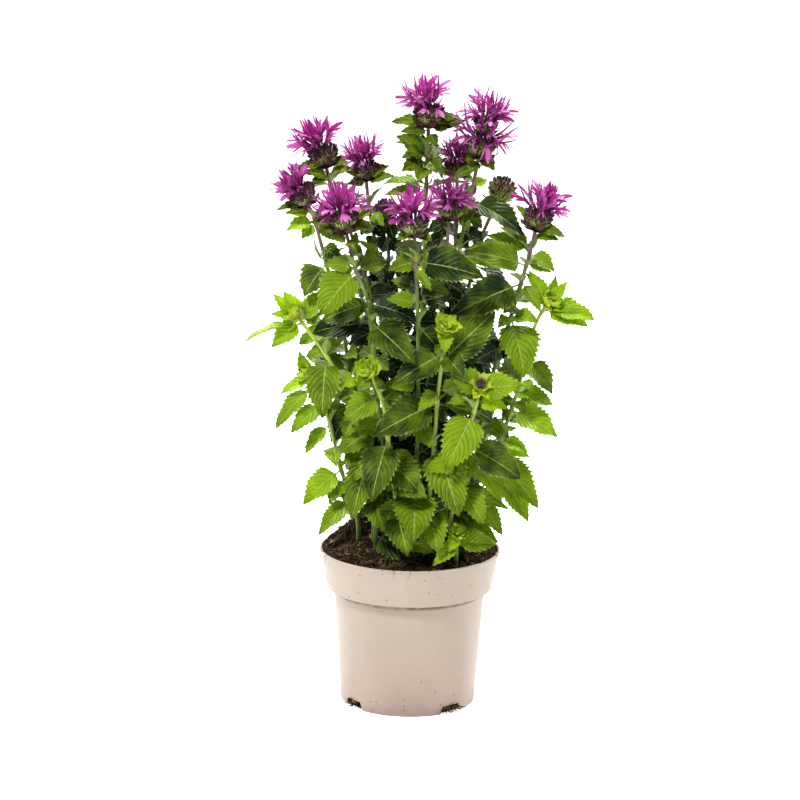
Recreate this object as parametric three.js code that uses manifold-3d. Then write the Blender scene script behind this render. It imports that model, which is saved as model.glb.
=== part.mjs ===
// Potted bee balm: a clump of square flower stems, with toothed leaves in opposite pairs and shaggy
// purple heads, growing from dark soil in a thin round nursery pot.
// Millimetres, +Z up. The origin is the middle of the pot's underside, and the front faces -Y.

import * as THREE from 'three';
import { mergeVertices } from 'three/addons/utils/BufferGeometryUtils.js';
import Module from 'manifold-3d';

const wasm = await Module();
wasm.setup();

// Driving dimensions, in mm and degrees.

const GAP = 0.3; // air between two pieces that touch
const UP = new THREE.Vector3(0, 0, 1);

const POT = {
  height: 164,
  rimRadius: 95,
  lipHeight: 2.4,
  lipDepth: 0.9,
  bandHeight: 41,
  bandFootRadius: 87.4,
  bodyTopRadius: 79.5,
  footRadius: 71,
  footChamfer: 1.6,
  wall: 1.8,
  floor: 2.4,
  sides: 28,
  notchWidth: 29,
  notchTopWidth: 21,
  notchHeight: 9,
  notchAngles: [-50, 38, 130, 218],
};

const SOIL = {
  edgeHeight: 158,
  heap: 11,
  sideHeap: 18,
  sideHeapAt: [-52, 28],
  sideHeapSpread: 26,
  roughness: 1.6,
  lumpsAcross: [0.31, 1],
  lumpsBack: [0.27, 2],
  ridges: [0.13, -0.19],
  rings: 4,
};

const STEM = {
  foot: 141,
  straightTo: 181,
  footHalf: 2.2,
  topHalf: 1.45,
  turn: 20,
  ringsApart: 14,
  directionOver: 1,
};

const LEAF = {
  thickness: 0.8,
  stalkHalf: 0.9,
  stalkShare: 0.14,
  bend: 38,
  fold: 14,
  roundness: 0.58,
  fullness: 0.85,
  toothedShare: 0.93,
  toothAt: 0.66,
  toothOut: 1.08,
  notchIn: 0.8,
  clearOfStem: 4.5,
  longestTwin: 62,
  twinsBeyond: 42,
};

const OUTER_BRACT = { bend: 25, stalk: 0.3 };

// What a leaf's face looks towards: up, outwards by a share, and for a leaf near the front also to the
// front, all the way from the second depth on.
const FACING = { outward: 0.8, frontBetween: [40, -20], front: 0.9, lessUp: 0.35, lessOutward: 0.5 };

// A blade longer than this, without its stalk, has one more tooth on each side.
const TOOTH_STEPS = [26, 58];

// Rings of a solid of revolution: radius and height of the even corners, then of the odd ones where
// they differ.

const HEAD = {
  corners: 10,
  ball: [[4, 0], [23, 5, 10, 2], [11.5, 4, 10, 4], [14, 10, 12, 10], [16.5, 18, 13, 16]],
  closedBall: [[4, 0], [18, 4, 10, 2], [11.5, 4, 10, 4], [13.5, 10, 11.5, 11], [8, 19, 6, 17]],
  youngBall: [[4, 0], [11.5, 3, 10, 3], [13, 10, 11.5, 10], [8, 17, 6, 16]],
  coreRadius: 6.5,
  coreHeight: 6,
  domeHeight: 8.4,
  florets: 5,
  rises: [16, 36, 64],
  tierRises: [-4, 12],
  reachUp: 36,
  reachOut: 30,
  upperTier: 0.8,
};

const FLORET = {
  mouth: 0.55,
  mouthHalf: 2.6,
  throat: 0.62,
  upperLip: [1, 0.14],
  lowerLip: [0.9, -0.16],
};

const BUD = {
  corners: 10,
  rings: [[2, -3], [18, 6, 4, 2], [5, 5, 12, 12], [3, 9]],
  tipWidth: 16,
  tipBend: 20,
  seat: 2.5,
};

// The picture that the plant's points are read from. Its eye stood this far in front of the pot's
// axis and this far above the pot's foot, so a pixel of the 800-pixel picture and a depth behind the
// axis give a point in mm.

const PICTURE = {
  distance: 2787,
  height: 929,
  pitch: THREE.MathUtils.degToRad(12.28),
  roll: THREE.MathUtils.degToRad(-0.96),
  focal: 2741,
  middle: [412.2, 400],
};
const EYE = new THREE.Vector3(0, -PICTURE.distance, PICTURE.height);
const AHEAD = new THREE.Vector3(0, Math.cos(PICTURE.pitch), -Math.sin(PICTURE.pitch));
const RIGHT = new THREE.Vector3(1, 0, 0);
const UPWARD = new THREE.Vector3(0, Math.sin(PICTURE.pitch), Math.cos(PICTURE.pitch));

function fromPicture([across, down, back]) {
  const a = across - PICTURE.middle[0];
  const b = PICTURE.middle[1] - down;
  const u = Math.cos(PICTURE.roll) * a + Math.sin(PICTURE.roll) * b;
  const v = Math.cos(PICTURE.roll) * b - Math.sin(PICTURE.roll) * a;
  const ray = AHEAD.clone().addScaledVector(RIGHT, u / PICTURE.focal);
  ray.addScaledVector(UPWARD, v / PICTURE.focal);
  return EYE.clone().addScaledVector(ray, (back + PICTURE.distance) / ray.y);
}

function pictureRow(point) {
  const sight = point.clone().sub(EYE);
  const u = (PICTURE.focal * sight.dot(RIGHT)) / sight.dot(AHEAD);
  const v = (PICTURE.focal * sight.dot(UPWARD)) / sight.dot(AHEAD);
  return PICTURE.middle[1] - Math.sin(PICTURE.roll) * u - Math.cos(PICTURE.roll) * v;
}

// The plant. A stem's foot is x and y in mm. Its other points, its top and the leaf tips are each a
// pixel across, a pixel down and a depth behind the axis in mm. A pair of leaves leaves its stem at a
// row of the picture, and a pair given by one leaf gets its opposite by rule. Widths are in mm. A head
// has its size and the leafy bracts outside its ruff, and a bud its size, its lean to the right and to
// the front, and the larger leaves round it.

const STEMS = [
  {
    name: 'stem_1',
    foot: [10, 8],
    points: [[420, 400, 6], [423, 300, 8], [426, 194, 8]],
    top: [428.5, 128, 10],
    head: { size: 1, outer: [{ tip: [391, 122, 6], width: 17 }, { tip: [459, 116, 6], width: 15 }] },
    pairs: [
      { row: 157, leaves: [{ tip: [396, 142, 4], width: 32 }, { tip: [442, 178, 26], width: 20 }] },
      { row: 163, leaves: [{ tip: [418, 182, -22], width: 24 }, { tip: [437, 143, 34], width: 18 }] },
      { row: 188, leaves: [{ tip: [382, 184, 2], width: 27 }] },
      { row: 240, leaves: [{ tip: [399, 266, 40], width: 34 }] },
      { row: 310, leaves: [{ tip: [455, 330, 48], width: 36 }] },
      { row: 380, leaves: [{ tip: [400, 405, 66], width: 36 }] },
    ],
  },
  {
    name: 'stem_2',
    foot: [28, 4],
    points: [[444, 420, 0], [452, 300, -3], [461, 241, -5], [471, 195, -5]],
    top: [478.5, 159, -5],
    head: {
      size: 1,
      tiers: 2,
      outer: [{ tip: [466, 161, -16], width: 15 }, { tip: [494, 170, -18], width: 18 }],
    },
    pairs: [
      { row: 201, leaves: [{ tip: [523, 235, -18], width: 36 }, { tip: [462, 219, -22], width: 16 }] },
      { row: 247, leaves: [{ tip: [516, 271, -15], width: 26 }] },
      { row: 330, leaves: [{ tip: [508, 350, 30], width: 38 }] },
      { row: 390, leaves: [{ tip: [462, 423, -58], width: 30 }] },
    ],
  },
  {
    name: 'stem_3',
    foot: [-28, 14],
    points: [[378, 400, 12], [374, 317, 10], [361, 261, 8], [330, 182, 10]],
    top: [326.5, 168, 10],
    head: { size: 1, outer: [{ tip: [295, 169, -8], width: 13 }, { tip: [348, 162, 6], width: 14 }] },
    pairs: [
      { row: 184, leaves: [{ tip: [307, 190, 8], width: 17 }, { tip: [347, 186, 14], width: 16 }] },
      { row: 258, leaves: [{ tip: [384, 259, 2], width: 25 }, { tip: [352, 243, 20], width: 16 }] },
      { row: 318, leaves: [{ tip: [336, 350, 36], width: 36 }] },
      { row: 385, leaves: [{ tip: [330, 410, 40], width: 36 }] },
    ],
  },
  {
    name: 'stem_4',
    foot: [-13, 28],
    points: [[394, 400, 28], [386, 320, 28], [379, 265, 26], [369, 207, 25]],
    top: [366.3, 181, 25],
    head: { size: 0.85, outer: [{ tip: [346, 172, 20], width: 12 }, { tip: [389, 166, 18], width: 16 }] },
    pairs: [
      { row: 207, leaves: [{ tip: [358, 215, 12], width: 14 }, { tip: [378, 218, 40], width: 14 }] },
      { row: 280, leaves: [{ tip: [362, 300, 56], width: 34 }] },
      { row: 352, leaves: [{ tip: [408, 372, 66], width: 34 }] },
    ],
  },
  {
    name: 'stem_5',
    foot: [-38, -8],
    points: [[353, 400, -14], [343, 330, -15], [325, 259, -15], [313, 215, -18]],
    top: [308, 205, -21],
    head: { size: 0.9, outer: [{ tip: [277, 210, -30], width: 12 }, { tip: [296, 176, -14], width: 14 }] },
    pairs: [
      { row: 222, leaves: [{ tip: [287, 230, -22], width: 22 }, { tip: [331, 213, 6], width: 18 }] },
      { row: 264, leaves: [{ tip: [304, 296, -26], width: 34 }, { tip: [347, 256, 4], width: 30 }] },
      { row: 325, leaves: [{ tip: [296, 347, -16], width: 26 }] },
      { row: 372, leaves: [{ tip: [308, 358, 18], width: 28 }] },
    ],
  },
  {
    name: 'stem_6',
    foot: [-20, -34],
    points: [[378, 400, -44], [371, 323, -50], [366, 294, -53], [356, 271, -56], [348, 240, -60]],
    top: [346.3, 233, -60],
    head: { size: 1.05, outer: [{ tip: [310, 222, -66], width: 22 }, { tip: [372, 226, -66], width: 18 }] },
    pairs: [
      { row: 271, leaves: [{ tip: [320, 316, -78], width: 43 }, { tip: [386, 262, -30], width: 26 }] },
      { row: 304, leaves: [{ tip: [322, 321, -36], width: 36 }] },
      { row: 323, leaves: [{ tip: [415, 364, -96], width: 40 }, { tip: [312, 333, -30], width: 34 }] },
      { row: 385, leaves: [{ tip: [345, 397, -20], width: 34 }] },
    ],
  },
  {
    name: 'stem_7',
    foot: [4, -40],
    points: [[418, 420, -50], [418, 326, -60], [415.6, 263, -68]],
    top: [414.4, 237, -70],
    head: { size: 1, outer: [{ tip: [397, 240, -84], width: 15 }, { tip: [432, 241, -80], width: 14 }] },
    pairs: [
      { row: 262, leaves: [{ tip: [483, 277, -78], width: 42 }, { tip: [389, 270, -78], width: 22 }] },
      { row: 268, leaves: [{ tip: [431, 291, -88], width: 13 }, { tip: [401, 262, -50], width: 12 }] },
      { row: 326, leaves: [{ tip: [386, 330, -44], width: 30 }, { tip: [440, 352, -50], width: 30 }] },
      { row: 400, leaves: [{ tip: [400, 442, -70], width: 28 }] },
      { row: 492, leaves: [{ tip: [413.5, 543, -100], width: 46 }] },
    ],
  },
  {
    name: 'stem_8',
    foot: [16, -14],
    points: [[438, 400, -18], [442, 290, -18], [447.6, 239, -20]],
    top: [448.6, 221, -20],
    head: { size: 0.85, outer: [{ tip: [426, 201, -34], width: 16 }, { tip: [464, 214, -32], width: 14 }] },
    pairs: [
      { row: 282, leaves: [{ tip: [430, 316, -46], width: 18 }, { tip: [462, 296, 6], width: 26 }] },
      { row: 374, leaves: [{ tip: [391, 391, -46], width: 36 }] },
      { row: 452, leaves: [{ tip: [472, 470, -46], width: 34 }] },
    ],
  },
  {
    name: 'stem_9',
    foot: [22, 30],
    points: [[444, 400, 34], [452, 300, 38], [456, 230, 40]],
    top: [457, 178, 40],
    head: { size: 0.85, outer: [{ tip: [438, 172, 44], width: 13 }, { tip: [475, 182, 46], width: 13 }] },
    pairs: [
      { row: 226, leaves: [{ tip: [482, 222, 60], width: 22 }] },
      { row: 280, leaves: [{ tip: [436, 300, 66], width: 32 }] },
      { row: 340, leaves: [{ tip: [488, 350, 70], width: 36 }] },
      { row: 410, leaves: [{ tip: [430, 430, 84], width: 36 }] },
    ],
  },
  {
    name: 'stem_10',
    foot: [36, -16],
    points: [[482, 420, -14], [497, 358, -12], [510, 320, -10], [522, 280, -10], [530, 252, -10]],
    top: [535.2, 231, -10],
    head: { size: 0.95, outer: [{ tip: [565, 237, -24], width: 15 }, { tip: [516, 205, -6], width: 12 }] },
    pairs: [
      { row: 254, leaves: [{ tip: [495, 231, -4], width: 22 }, { tip: [554, 271, -18], width: 22 }] },
      { row: 266, leaves: [{ tip: [464, 252, -34], width: 32 }, { tip: [546, 262, 24], width: 16 }] },
      { row: 284, leaves: [{ tip: [448, 318, -62], width: 42 }] },
      { row: 318, leaves: [{ tip: [524, 378, -44], width: 45 }, { tip: [505, 296, 26], width: 18 }] },
      { row: 452, leaves: [{ tip: [502, 503, -42], width: 28 }] },
      { row: 480, leaves: [{ tip: [503, 536, -50], width: 30 }] },
    ],
  },
  {
    name: 'stem_11',
    foot: [34, 32],
    points: [[458, 400, 34], [467, 300, 38], [479, 244, 40]],
    top: [496, 204, 50],
    head: { size: 1, closed: true, outer: [] },
    pairs: [
      { row: 213, leaves: [{ tip: [512, 226, 44], width: 16 }, { tip: [469, 220, 40], width: 16 }] },
      { row: 246, leaves: [{ tip: [512, 245, 30], width: 20 }, { tip: [462, 236, 52], width: 22 }] },
      { row: 264, leaves: [{ tip: [512, 301, 18], width: 32 }] },
      { row: 352, leaves: [{ tip: [500, 372, 76], width: 36 }] },
    ],
  },
  {
    name: 'stem_12',
    foot: [-4, 42],
    points: [[396, 400, 38], [389, 300, 32], [388.5, 231, 30]],
    top: [387, 220, 29],
    head: { size: 0.75, closed: true, outer: [] },
    pairs: [
      { row: 232, leaves: [{ tip: [367, 222, 26], width: 20 }, { tip: [410, 232, 36], width: 20 }] },
      { row: 295, leaves: [{ tip: [371, 275, 28], width: 24 }, { tip: [412, 304, 10], width: 30 }] },
      { row: 350, leaves: [{ tip: [384, 376, 88], width: 36 }] },
    ],
  },
  {
    name: 'shoot_1',
    foot: [-36, -30],
    points: [[367, 433, -32], [350, 401, -30], [327, 357, -25]],
    top: [298, 317, -20],
    bud: { size: 1, lean: [-1, 0.4], tips: [[273, 294, -22], [284, 334, -4]] },
    pairs: [
      {
        row: 324,
        leaves: [{ tip: [241, 345, -36], width: 22, level: true }, { tip: [325, 290, -10], width: 26 }],
      },
      { row: 357, leaves: [{ tip: [322.5, 418, -56], width: 40 }] },
      { row: 433, leaves: [{ tip: [340, 453, -40], width: 30 }] },
      { row: 455, leaves: [{ tip: [352, 519, -62], width: 36 }] },
      { row: 500, leaves: [{ tip: [383, 531, -72], width: 32 }] },
    ],
  },
  {
    name: 'shoot_2',
    foot: [-12, -50],
    points: [[389, 450, -62], [383, 404, -70]],
    top: [370, 373, -75],
    bud: { size: 1, lean: [-0.5, 1], tips: [[357, 389, -92]] },
    pairs: [
      { row: 395, leaves: [{ tip: [344, 421, -84], width: 32 }] },
      { row: 438, leaves: [{ tip: [371, 502, -92], width: 40 }] },
      { row: 462, leaves: [{ tip: [420, 492, -78], width: 38 }] },
      { row: 512, leaves: [{ tip: [406, 560, -86], width: 36 }] },
    ],
  },
  {
    name: 'shoot_3',
    foot: [18, -50],
    points: [[436, 420, -62], [437, 403, -64], [442.7, 355, -68]],
    top: [446, 328, -70],
    bud: { size: 0.9, lean: [0, 1], tips: [[445, 353, -90]] },
    pairs: [
      { row: 354, leaves: [{ tip: [394, 384, -92], width: 34 }, { tip: [462, 382, -88], width: 26 }] },
      { row: 362, leaves: [{ tip: [482, 298, -50], width: 42 }] },
      { row: 404, leaves: [{ tip: [372, 437, -94], width: 42 }] },
      { row: 444, leaves: [{ tip: [459, 517, -98], width: 46 }] },
      { row: 512, leaves: [{ tip: [438, 553, -88], width: 32 }] },
    ],
  },
  {
    name: 'shoot_4',
    foot: [40, -44],
    points: [[466, 450, -66], [474, 412, -76]],
    top: [480.5, 386, -80],
    head: { size: 0.42, closed: true, young: true, outer: [] },
    bud: { size: 0.85, open: true, lean: [0, 0.3], tips: [[521, 380, -86], [456, 367, -84]], width: 30 },
    pairs: [
      { row: 401, leaves: [{ tip: [507, 408, -86], width: 20 }] },
      { row: 411, leaves: [{ tip: [445.5, 471, -100], width: 42 }, { tip: [493, 422, -58], width: 18 }] },
      { row: 446, leaves: [{ tip: [521, 479, -72], width: 40 }, { tip: [465, 486, -92], width: 22 }] },
      { row: 484, leaves: [{ tip: [484, 525, -92], width: 32 }] },
    ],
  },
  {
    name: 'shoot_5',
    foot: [52, 6],
    points: [[500, 440, 0], [514, 402, 0], [536, 323, 0]],
    top: [547, 305, 0],
    bud: { size: 1, lean: [0.4, 0.4], tips: [[567, 282, -4], [556, 276, 8]] },
    pairs: [
      { row: 309, leaves: [{ tip: [596, 320, -4], width: 30 }, { tip: [530, 269, -4], width: 20 }] },
      { row: 360, leaves: [{ tip: [552, 394, -14], width: 28 }] },
      { row: 410, leaves: [{ tip: [557, 437, -18], width: 34 }, { tip: [502, 421, 18], width: 18 }] },
      { row: 441, leaves: [{ tip: [528, 452, -8], width: 20 }, { tip: [484, 430, 16], width: 20 }] },
      { row: 460, leaves: [{ tip: [528, 522, -24], width: 36 }] },
    ],
  },
  {
    name: 'shoot_6',
    foot: [-54, -4],
    points: [[339, 463, -5], [329, 421, -6]],
    top: [309, 376, -8],
    bud: { size: 0.8, lean: [-0.8, 0.3], tips: [[280, 394, -10], [299, 352, -4]] },
    pairs: [
      { row: 386, leaves: [{ tip: [275, 430, -14], width: 22 }] },
      { row: 405, leaves: [{ tip: [291, 433, -28], width: 24 }] },
      { row: 424, leaves: [{ tip: [305, 454, -14], width: 18 }] },
      { row: 470, leaves: [{ tip: [303.5, 504, -20], width: 32 }] },
      { row: 500, leaves: [{ tip: [318.5, 535, -34], width: 24 }] },
    ],
  },
  {
    name: 'shoot_7',
    foot: [48, -58],
    points: [],
    top: [458, 536, -60],
    bud: { size: 0.7, lean: [0.2, 0.6], tips: [[447, 543, -72]] },
    pairs: [
      { row: 542, leaves: [{ tip: [495, 545, -58], width: 24 }, { tip: [433, 566, -86], width: 18 }] },
    ],
  },
  {
    name: 'shoot_8',
    foot: [-30, 48],
    points: [[384, 440, 66], [372, 380, 82]],
    top: [362, 330, 96],
    bud: { size: 1, lean: [-0.3, -0.8], tips: [] },
    pairs: [
      { row: 360, leaves: [{ tip: [338, 385, 122], width: 32 }] },
      { row: 405, leaves: [{ tip: [394, 440, 128], width: 36 }] },
      { row: 445, leaves: [{ tip: [346, 470, 112], width: 38 }] },
      { row: 480, leaves: [{ tip: [390, 510, 118], width: 36 }] },
    ],
  },
  {
    name: 'shoot_9',
    foot: [12, 56],
    points: [[420, 420, 78], [424, 340, 94]],
    top: [426, 262, 104],
    bud: { size: 1, lean: [0.1, -1], tips: [] },
    pairs: [
      { row: 290, leaves: [{ tip: [402, 312, 132], width: 32 }] },
      { row: 340, leaves: [{ tip: [440, 380, 140], width: 36 }] },
      { row: 390, leaves: [{ tip: [396, 420, 130], width: 38 }] },
      { row: 440, leaves: [{ tip: [432, 482, 130], width: 38 }] },
    ],
  },
  {
    name: 'shoot_10',
    foot: [50, 38],
    points: [[484, 440, 60], [498, 390, 76]],
    top: [508, 350, 88],
    bud: { size: 1, lean: [0.5, -0.6], tips: [] },
    pairs: [
      { row: 380, leaves: [{ tip: [530, 412, 112], width: 32 }] },
      { row: 420, leaves: [{ tip: [472, 450, 128], width: 38 }] },
      { row: 455, leaves: [{ tip: [516, 482, 108], width: 38 }] },
      { row: 490, leaves: [{ tip: [470, 522, 108], width: 36 }] },
    ],
  },
];

// Solids and meshes.

function radians(degrees) {
  return THREE.MathUtils.degToRad(degrees);
}

function geometryFrom(points, triangles) {
  const geometry = new THREE.BufferGeometry();
  geometry.setFromPoints(points);
  geometry.setIndex(triangles.flat());
  return geometry;
}

function solidOf(geometry) {
  geometry.deleteAttribute('normal');
  geometry.deleteAttribute('uv');
  const merged = mergeVertices(geometry);
  const vertProperties = new Float32Array(merged.attributes.position.array);
  const triVerts = new Uint32Array(merged.index.array);
  return new wasm.Manifold(new wasm.Mesh({ numProp: 3, vertProperties, triVerts }));
}

function fused(solids) {
  return wasm.Manifold.union(solids);
}

function paint(name, solid, [color, roughness]) {
  const mesh = solid.getMesh();
  const geometry = new THREE.BufferGeometry();
  geometry.setAttribute('position', new THREE.BufferAttribute(mesh.vertProperties, 3));
  geometry.setIndex(new THREE.BufferAttribute(mesh.triVerts, 1));
  geometry.computeVertexNormals();
  const material = new THREE.MeshStandardMaterial({ color, roughness, metalness: 0 });
  const painted = new THREE.Mesh(geometry, material);
  painted.name = name;
  return painted;
}

// Triangles between rings of points, each with the same number of sides, from a middle point below
// the first ring to one above the last.
function ringTriangles(rings, sides) {
  const triangles = [];
  const last = rings * sides + 1;
  for (let side = 0; side < sides; side += 1) {
    const next = (side + 1) % sides;
    triangles.push([0, next + 1, side + 1]);
    for (let ring = 0; ring < rings - 1; ring += 1) {
      const a = ring * sides + side + 1;
      const b = ring * sides + next + 1;
      triangles.push([a, b, b + sides], [a, b + sides, a + sides]);
    }
    triangles.push([last - sides + side, last - sides + next, last]);
  }
  return triangles;
}

function sideOf(axis) {
  return new THREE.Vector3(1, 0, 0).addScaledVector(axis, -axis.x).normalize();
}

// A solid of rings round an axis, ridged or starred where its odd corners differ from the even ones.
function ringed(rings, corners, { base, axis, size }) {
  const points = [base.clone().addScaledVector(axis, rings[0][1] * size)];
  for (const [radius, height, oddRadius = radius, oddHeight = height] of rings) {
    for (let corner = 0; corner < corners; corner += 1) {
      const around = sideOf(axis).applyAxisAngle(axis, (2 * Math.PI * corner) / corners);
      const [reach, rise] = corner % 2 === 0 ? [radius, height] : [oddRadius, oddHeight];
      points.push(base.clone().addScaledVector(around, reach * size).addScaledVector(axis, rise * size));
    }
  }
  points.push(base.clone().addScaledVector(axis, rings.at(-1)[1] * size));
  return solidOf(geometryFrom(points, ringTriangles(rings.length, corners)));
}

// Pot: one lathed wall and floor, with four cut-outs at the foot.

const LIP_FOOT = POT.height - POT.lipHeight;
const BAND_FOOT = POT.height - POT.bandHeight;

// The wall from its foot to its lip, moved in by the inset.
function wallProfile(inset) {
  return [
    [POT.bodyTopRadius - inset, BAND_FOOT + inset],
    [POT.bandFootRadius - inset, BAND_FOOT + inset],
    [POT.rimRadius - POT.lipDepth - inset, LIP_FOOT],
  ];
}

function buildPot() {
  const profile = [
    [0, 0],
    [POT.footRadius - POT.footChamfer, 0],
    [POT.footRadius, POT.footChamfer],
    ...wallProfile(0),
    [POT.rimRadius, LIP_FOOT],
    [POT.rimRadius, POT.height],
    [POT.rimRadius - POT.lipDepth - POT.wall, POT.height],
    ...wallProfile(POT.wall).reverse(),
    [POT.footRadius - POT.wall, POT.floor],
    [0, POT.floor],
  ].map(([radius, height]) => new THREE.Vector2(radius, height));
  let pot = solidOf(new THREE.LatheGeometry(profile, POT.sides).rotateX(Math.PI / 2));
  for (const angle of POT.notchAngles) pot = pot.subtract(buildNotch(angle));
  return pot;
}

function buildNotch(angle) {
  const outline = new THREE.Shape([
    new THREE.Vector2(-POT.notchWidth / 2, -POT.wall),
    new THREE.Vector2(POT.notchWidth / 2, -POT.wall),
    new THREE.Vector2(POT.notchTopWidth / 2, POT.notchHeight),
    new THREE.Vector2(-POT.notchTopWidth / 2, POT.notchHeight),
  ]);
  const depth = 3 * POT.wall;
  const block = new THREE.ExtrudeGeometry(outline, { depth, bevelEnabled: false });
  block.rotateX(Math.PI / 2);
  block.translate(0, POT.footRadius + POT.wall, 0);
  block.rotateZ(radians(angle - 90));
  return solidOf(block);
}

// Soil: it fills the pot, with a heaped and lumpy top that every stem stands in a square hole of.

function soilHeight(x, y) {
  const away = Math.hypot(x, y) / POT.rimRadius;
  const side = Math.hypot(x - SOIL.sideHeapAt[0], y - SOIL.sideHeapAt[1]) / SOIL.sideHeapSpread;
  const [across, acrossFrom] = SOIL.lumpsAcross;
  const [back, backFrom] = SOIL.lumpsBack;
  const lumps = Math.sin(x * across + acrossFrom) * Math.sin(y * back + backFrom);
  const ridges = Math.sin(x * SOIL.ridges[0] + y * SOIL.ridges[1]);
  const heaped = SOIL.heap * Math.max(0, 1 - away * away) + SOIL.sideHeap * Math.exp(-side * side);
  return SOIL.edgeHeight + heaped + SOIL.roughness * (lumps + ridges);
}

// The soil's own radius at a height within the band, and no more than at its lip.
function soilRadiusAt(height) {
  const [, bandFoot, lip] = wallProfile(POT.wall + GAP);
  const share = Math.min(1, (height - bandFoot[1]) / (lip[1] - bandFoot[1]));
  return bandFoot[0] + share * (lip[0] - bandFoot[0]);
}

function buildSoil() {
  const [bodyTop, bandFoot] = wallProfile(POT.wall + GAP);
  const walls = [[POT.footRadius - POT.wall - GAP, POT.floor + GAP], bodyTop, bandFoot];
  const edge = soilRadiusAt(SOIL.edgeHeight);
  const points = [new THREE.Vector3(0, 0, POT.floor + GAP)];
  for (let ring = -walls.length; ring < SOIL.rings; ring += 1) {
    for (let side = 0; side < POT.sides; side += 1) {
      const around = new THREE.Vector3(1, 0, 0).applyAxisAngle(UP, (2 * Math.PI * side) / POT.sides);
      const [radius, wallHeight] = walls[ring + walls.length] ?? [edge * (1 - ring / SOIL.rings)];
      const height = wallHeight ?? soilHeight(radius * around.x, radius * around.y);
      points.push(around.multiplyScalar(ring === 0 ? soilRadiusAt(height) : radius).setZ(height));
    }
  }
  points.push(new THREE.Vector3(0, 0, soilHeight(0, 0)));
  let soil = solidOf(geometryFrom(points, ringTriangles(walls.length + SOIL.rings, POT.sides)));
  for (const stem of STEMS) soil = soil.subtract(stemHole(stem));
  return soil;
}

function stemHole({ foot }) {
  const width = 2 * (STEM.footHalf + GAP);
  const hole = new THREE.BoxGeometry(width, width, STEM.straightTo - STEM.foot + GAP);
  hole.rotateZ(radians(STEM.turn));
  hole.translate(foot[0], foot[1], (STEM.straightTo + STEM.foot - GAP) / 2);
  return solidOf(hole);
}

// Stems: a square section carried up a curve, which is straight and upright in the soil.

function stemCurve(stem) {
  const [x, y] = stem.foot;
  const buried = [new THREE.Vector3(x, y, STEM.foot), new THREE.Vector3(x, y, STEM.straightTo)];
  const knots = [...buried, ...stem.points.map(fromPicture), fromPicture(stem.top)];
  const last = knots.length - 1;
  const slopes = knots.map((knot, index) => {
    if (index < 2) return UP.clone();
    const low = knots[index - 1];
    const high = knots[Math.min(index + 1, last)];
    return high.clone().sub(low).divideScalar(high.z - low.z);
  });
  return { knots, slopes, top: knots[last] };
}

// The point of a stem at a height: a smooth curve through its knots, by their slopes.
function stemAt({ knots, slopes }, height) {
  let index = 0;
  while (index < knots.length - 2 && height > knots[index + 1].z) index += 1;
  const span = knots[index + 1].z - knots[index].z;
  const t = (height - knots[index].z) / span;
  const point = knots[index].clone().multiplyScalar(2 * t ** 3 - 3 * t ** 2 + 1);
  point.addScaledVector(slopes[index], (t ** 3 - 2 * t ** 2 + t) * span);
  point.addScaledVector(knots[index + 1], 3 * t ** 2 - 2 * t ** 3);
  return point.addScaledVector(slopes[index + 1], (t ** 3 - t ** 2) * span);
}

const HALVINGS = 40;

// The height at which a stem crosses a row of the picture, by halving the span that holds it.
function heightAtRow(curve, row) {
  let low = STEM.straightTo;
  let high = curve.top.z;
  for (let step = 0; step < HALVINGS; step += 1) {
    const middle = (low + high) / 2;
    if (pictureRow(stemAt(curve, middle)) > row) low = middle;
    else high = middle;
  }
  return low;
}

function stemDirection(curve, height) {
  const reach = STEM.directionOver / 2;
  const above = stemAt(curve, Math.min(height + reach, curve.top.z));
  return above.sub(stemAt(curve, Math.max(height - reach, STEM.foot))).normalize();
}

// A stem has a ring of corners at a pair of its leaves where the last one is far enough below, so
// that each leaf begins inside it.
function buildStem(curve, pairs) {
  const heights = [STEM.foot, STEM.straightTo];
  for (const height of pairs.map(({ row }) => heightAtRow(curve, row)).sort((a, b) => a - b)) {
    const apart = Math.min(height - heights.at(-1), curve.top.z - height);
    if (apart > STEM.ringsApart) heights.push(height);
  }
  heights.push(curve.top.z);
  const corners = [[1, 1], [-1, 1], [-1, -1], [1, -1]];
  const turn = radians(STEM.turn);
  const points = [stemAt(curve, STEM.foot)];
  for (const height of heights) {
    const share = Math.max(0, (height - STEM.straightTo) / (curve.top.z - STEM.straightTo));
    const half = STEM.footHalf + share * (STEM.topHalf - STEM.footHalf);
    const along = stemDirection(curve, height);
    const side = new THREE.Vector3(Math.cos(turn), Math.sin(turn), 0);
    side.addScaledVector(along, -side.dot(along)).normalize();
    const other = along.clone().cross(side);
    for (const [a, b] of corners) {
      const corner = stemAt(curve, height).addScaledVector(side, a * half);
      points.push(corner.addScaledVector(other, b * half));
    }
  }
  points.push(curve.top.clone());
  return solidOf(geometryFrom(points, ringTriangles(heights.length, corners.length)));
}

// Leaves: a thin plate along an arched midrib, with a stalk, a rounded base, forward-pointing teeth
// and a pointed tip. Both faces have the same triangles.

function halfWidthAt(share) {
  return Math.sin(Math.PI * share ** LEAF.roundness) ** LEAF.fullness;
}

// Stations along the blade as [share of its length, share of its half width], from the base to the
// last tooth, and the shares where the midrib has a point.
function leafOutline(teeth) {
  const edge = [];
  const ribs = [];
  for (let tooth = 0; tooth < teeth; tooth += 1) {
    const tip = (LEAF.toothedShare * (tooth + LEAF.toothAt)) / teeth;
    const notch = (LEAF.toothedShare * (tooth + 1)) / teeth;
    edge.push([tip, LEAF.toothOut * halfWidthAt(tip)]);
    if (tooth < teeth - 1) {
      edge.push([notch, LEAF.notchIn * halfWidthAt(notch)]);
      ribs.push(notch);
    }
  }
  return { edge, ribs };
}

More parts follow.
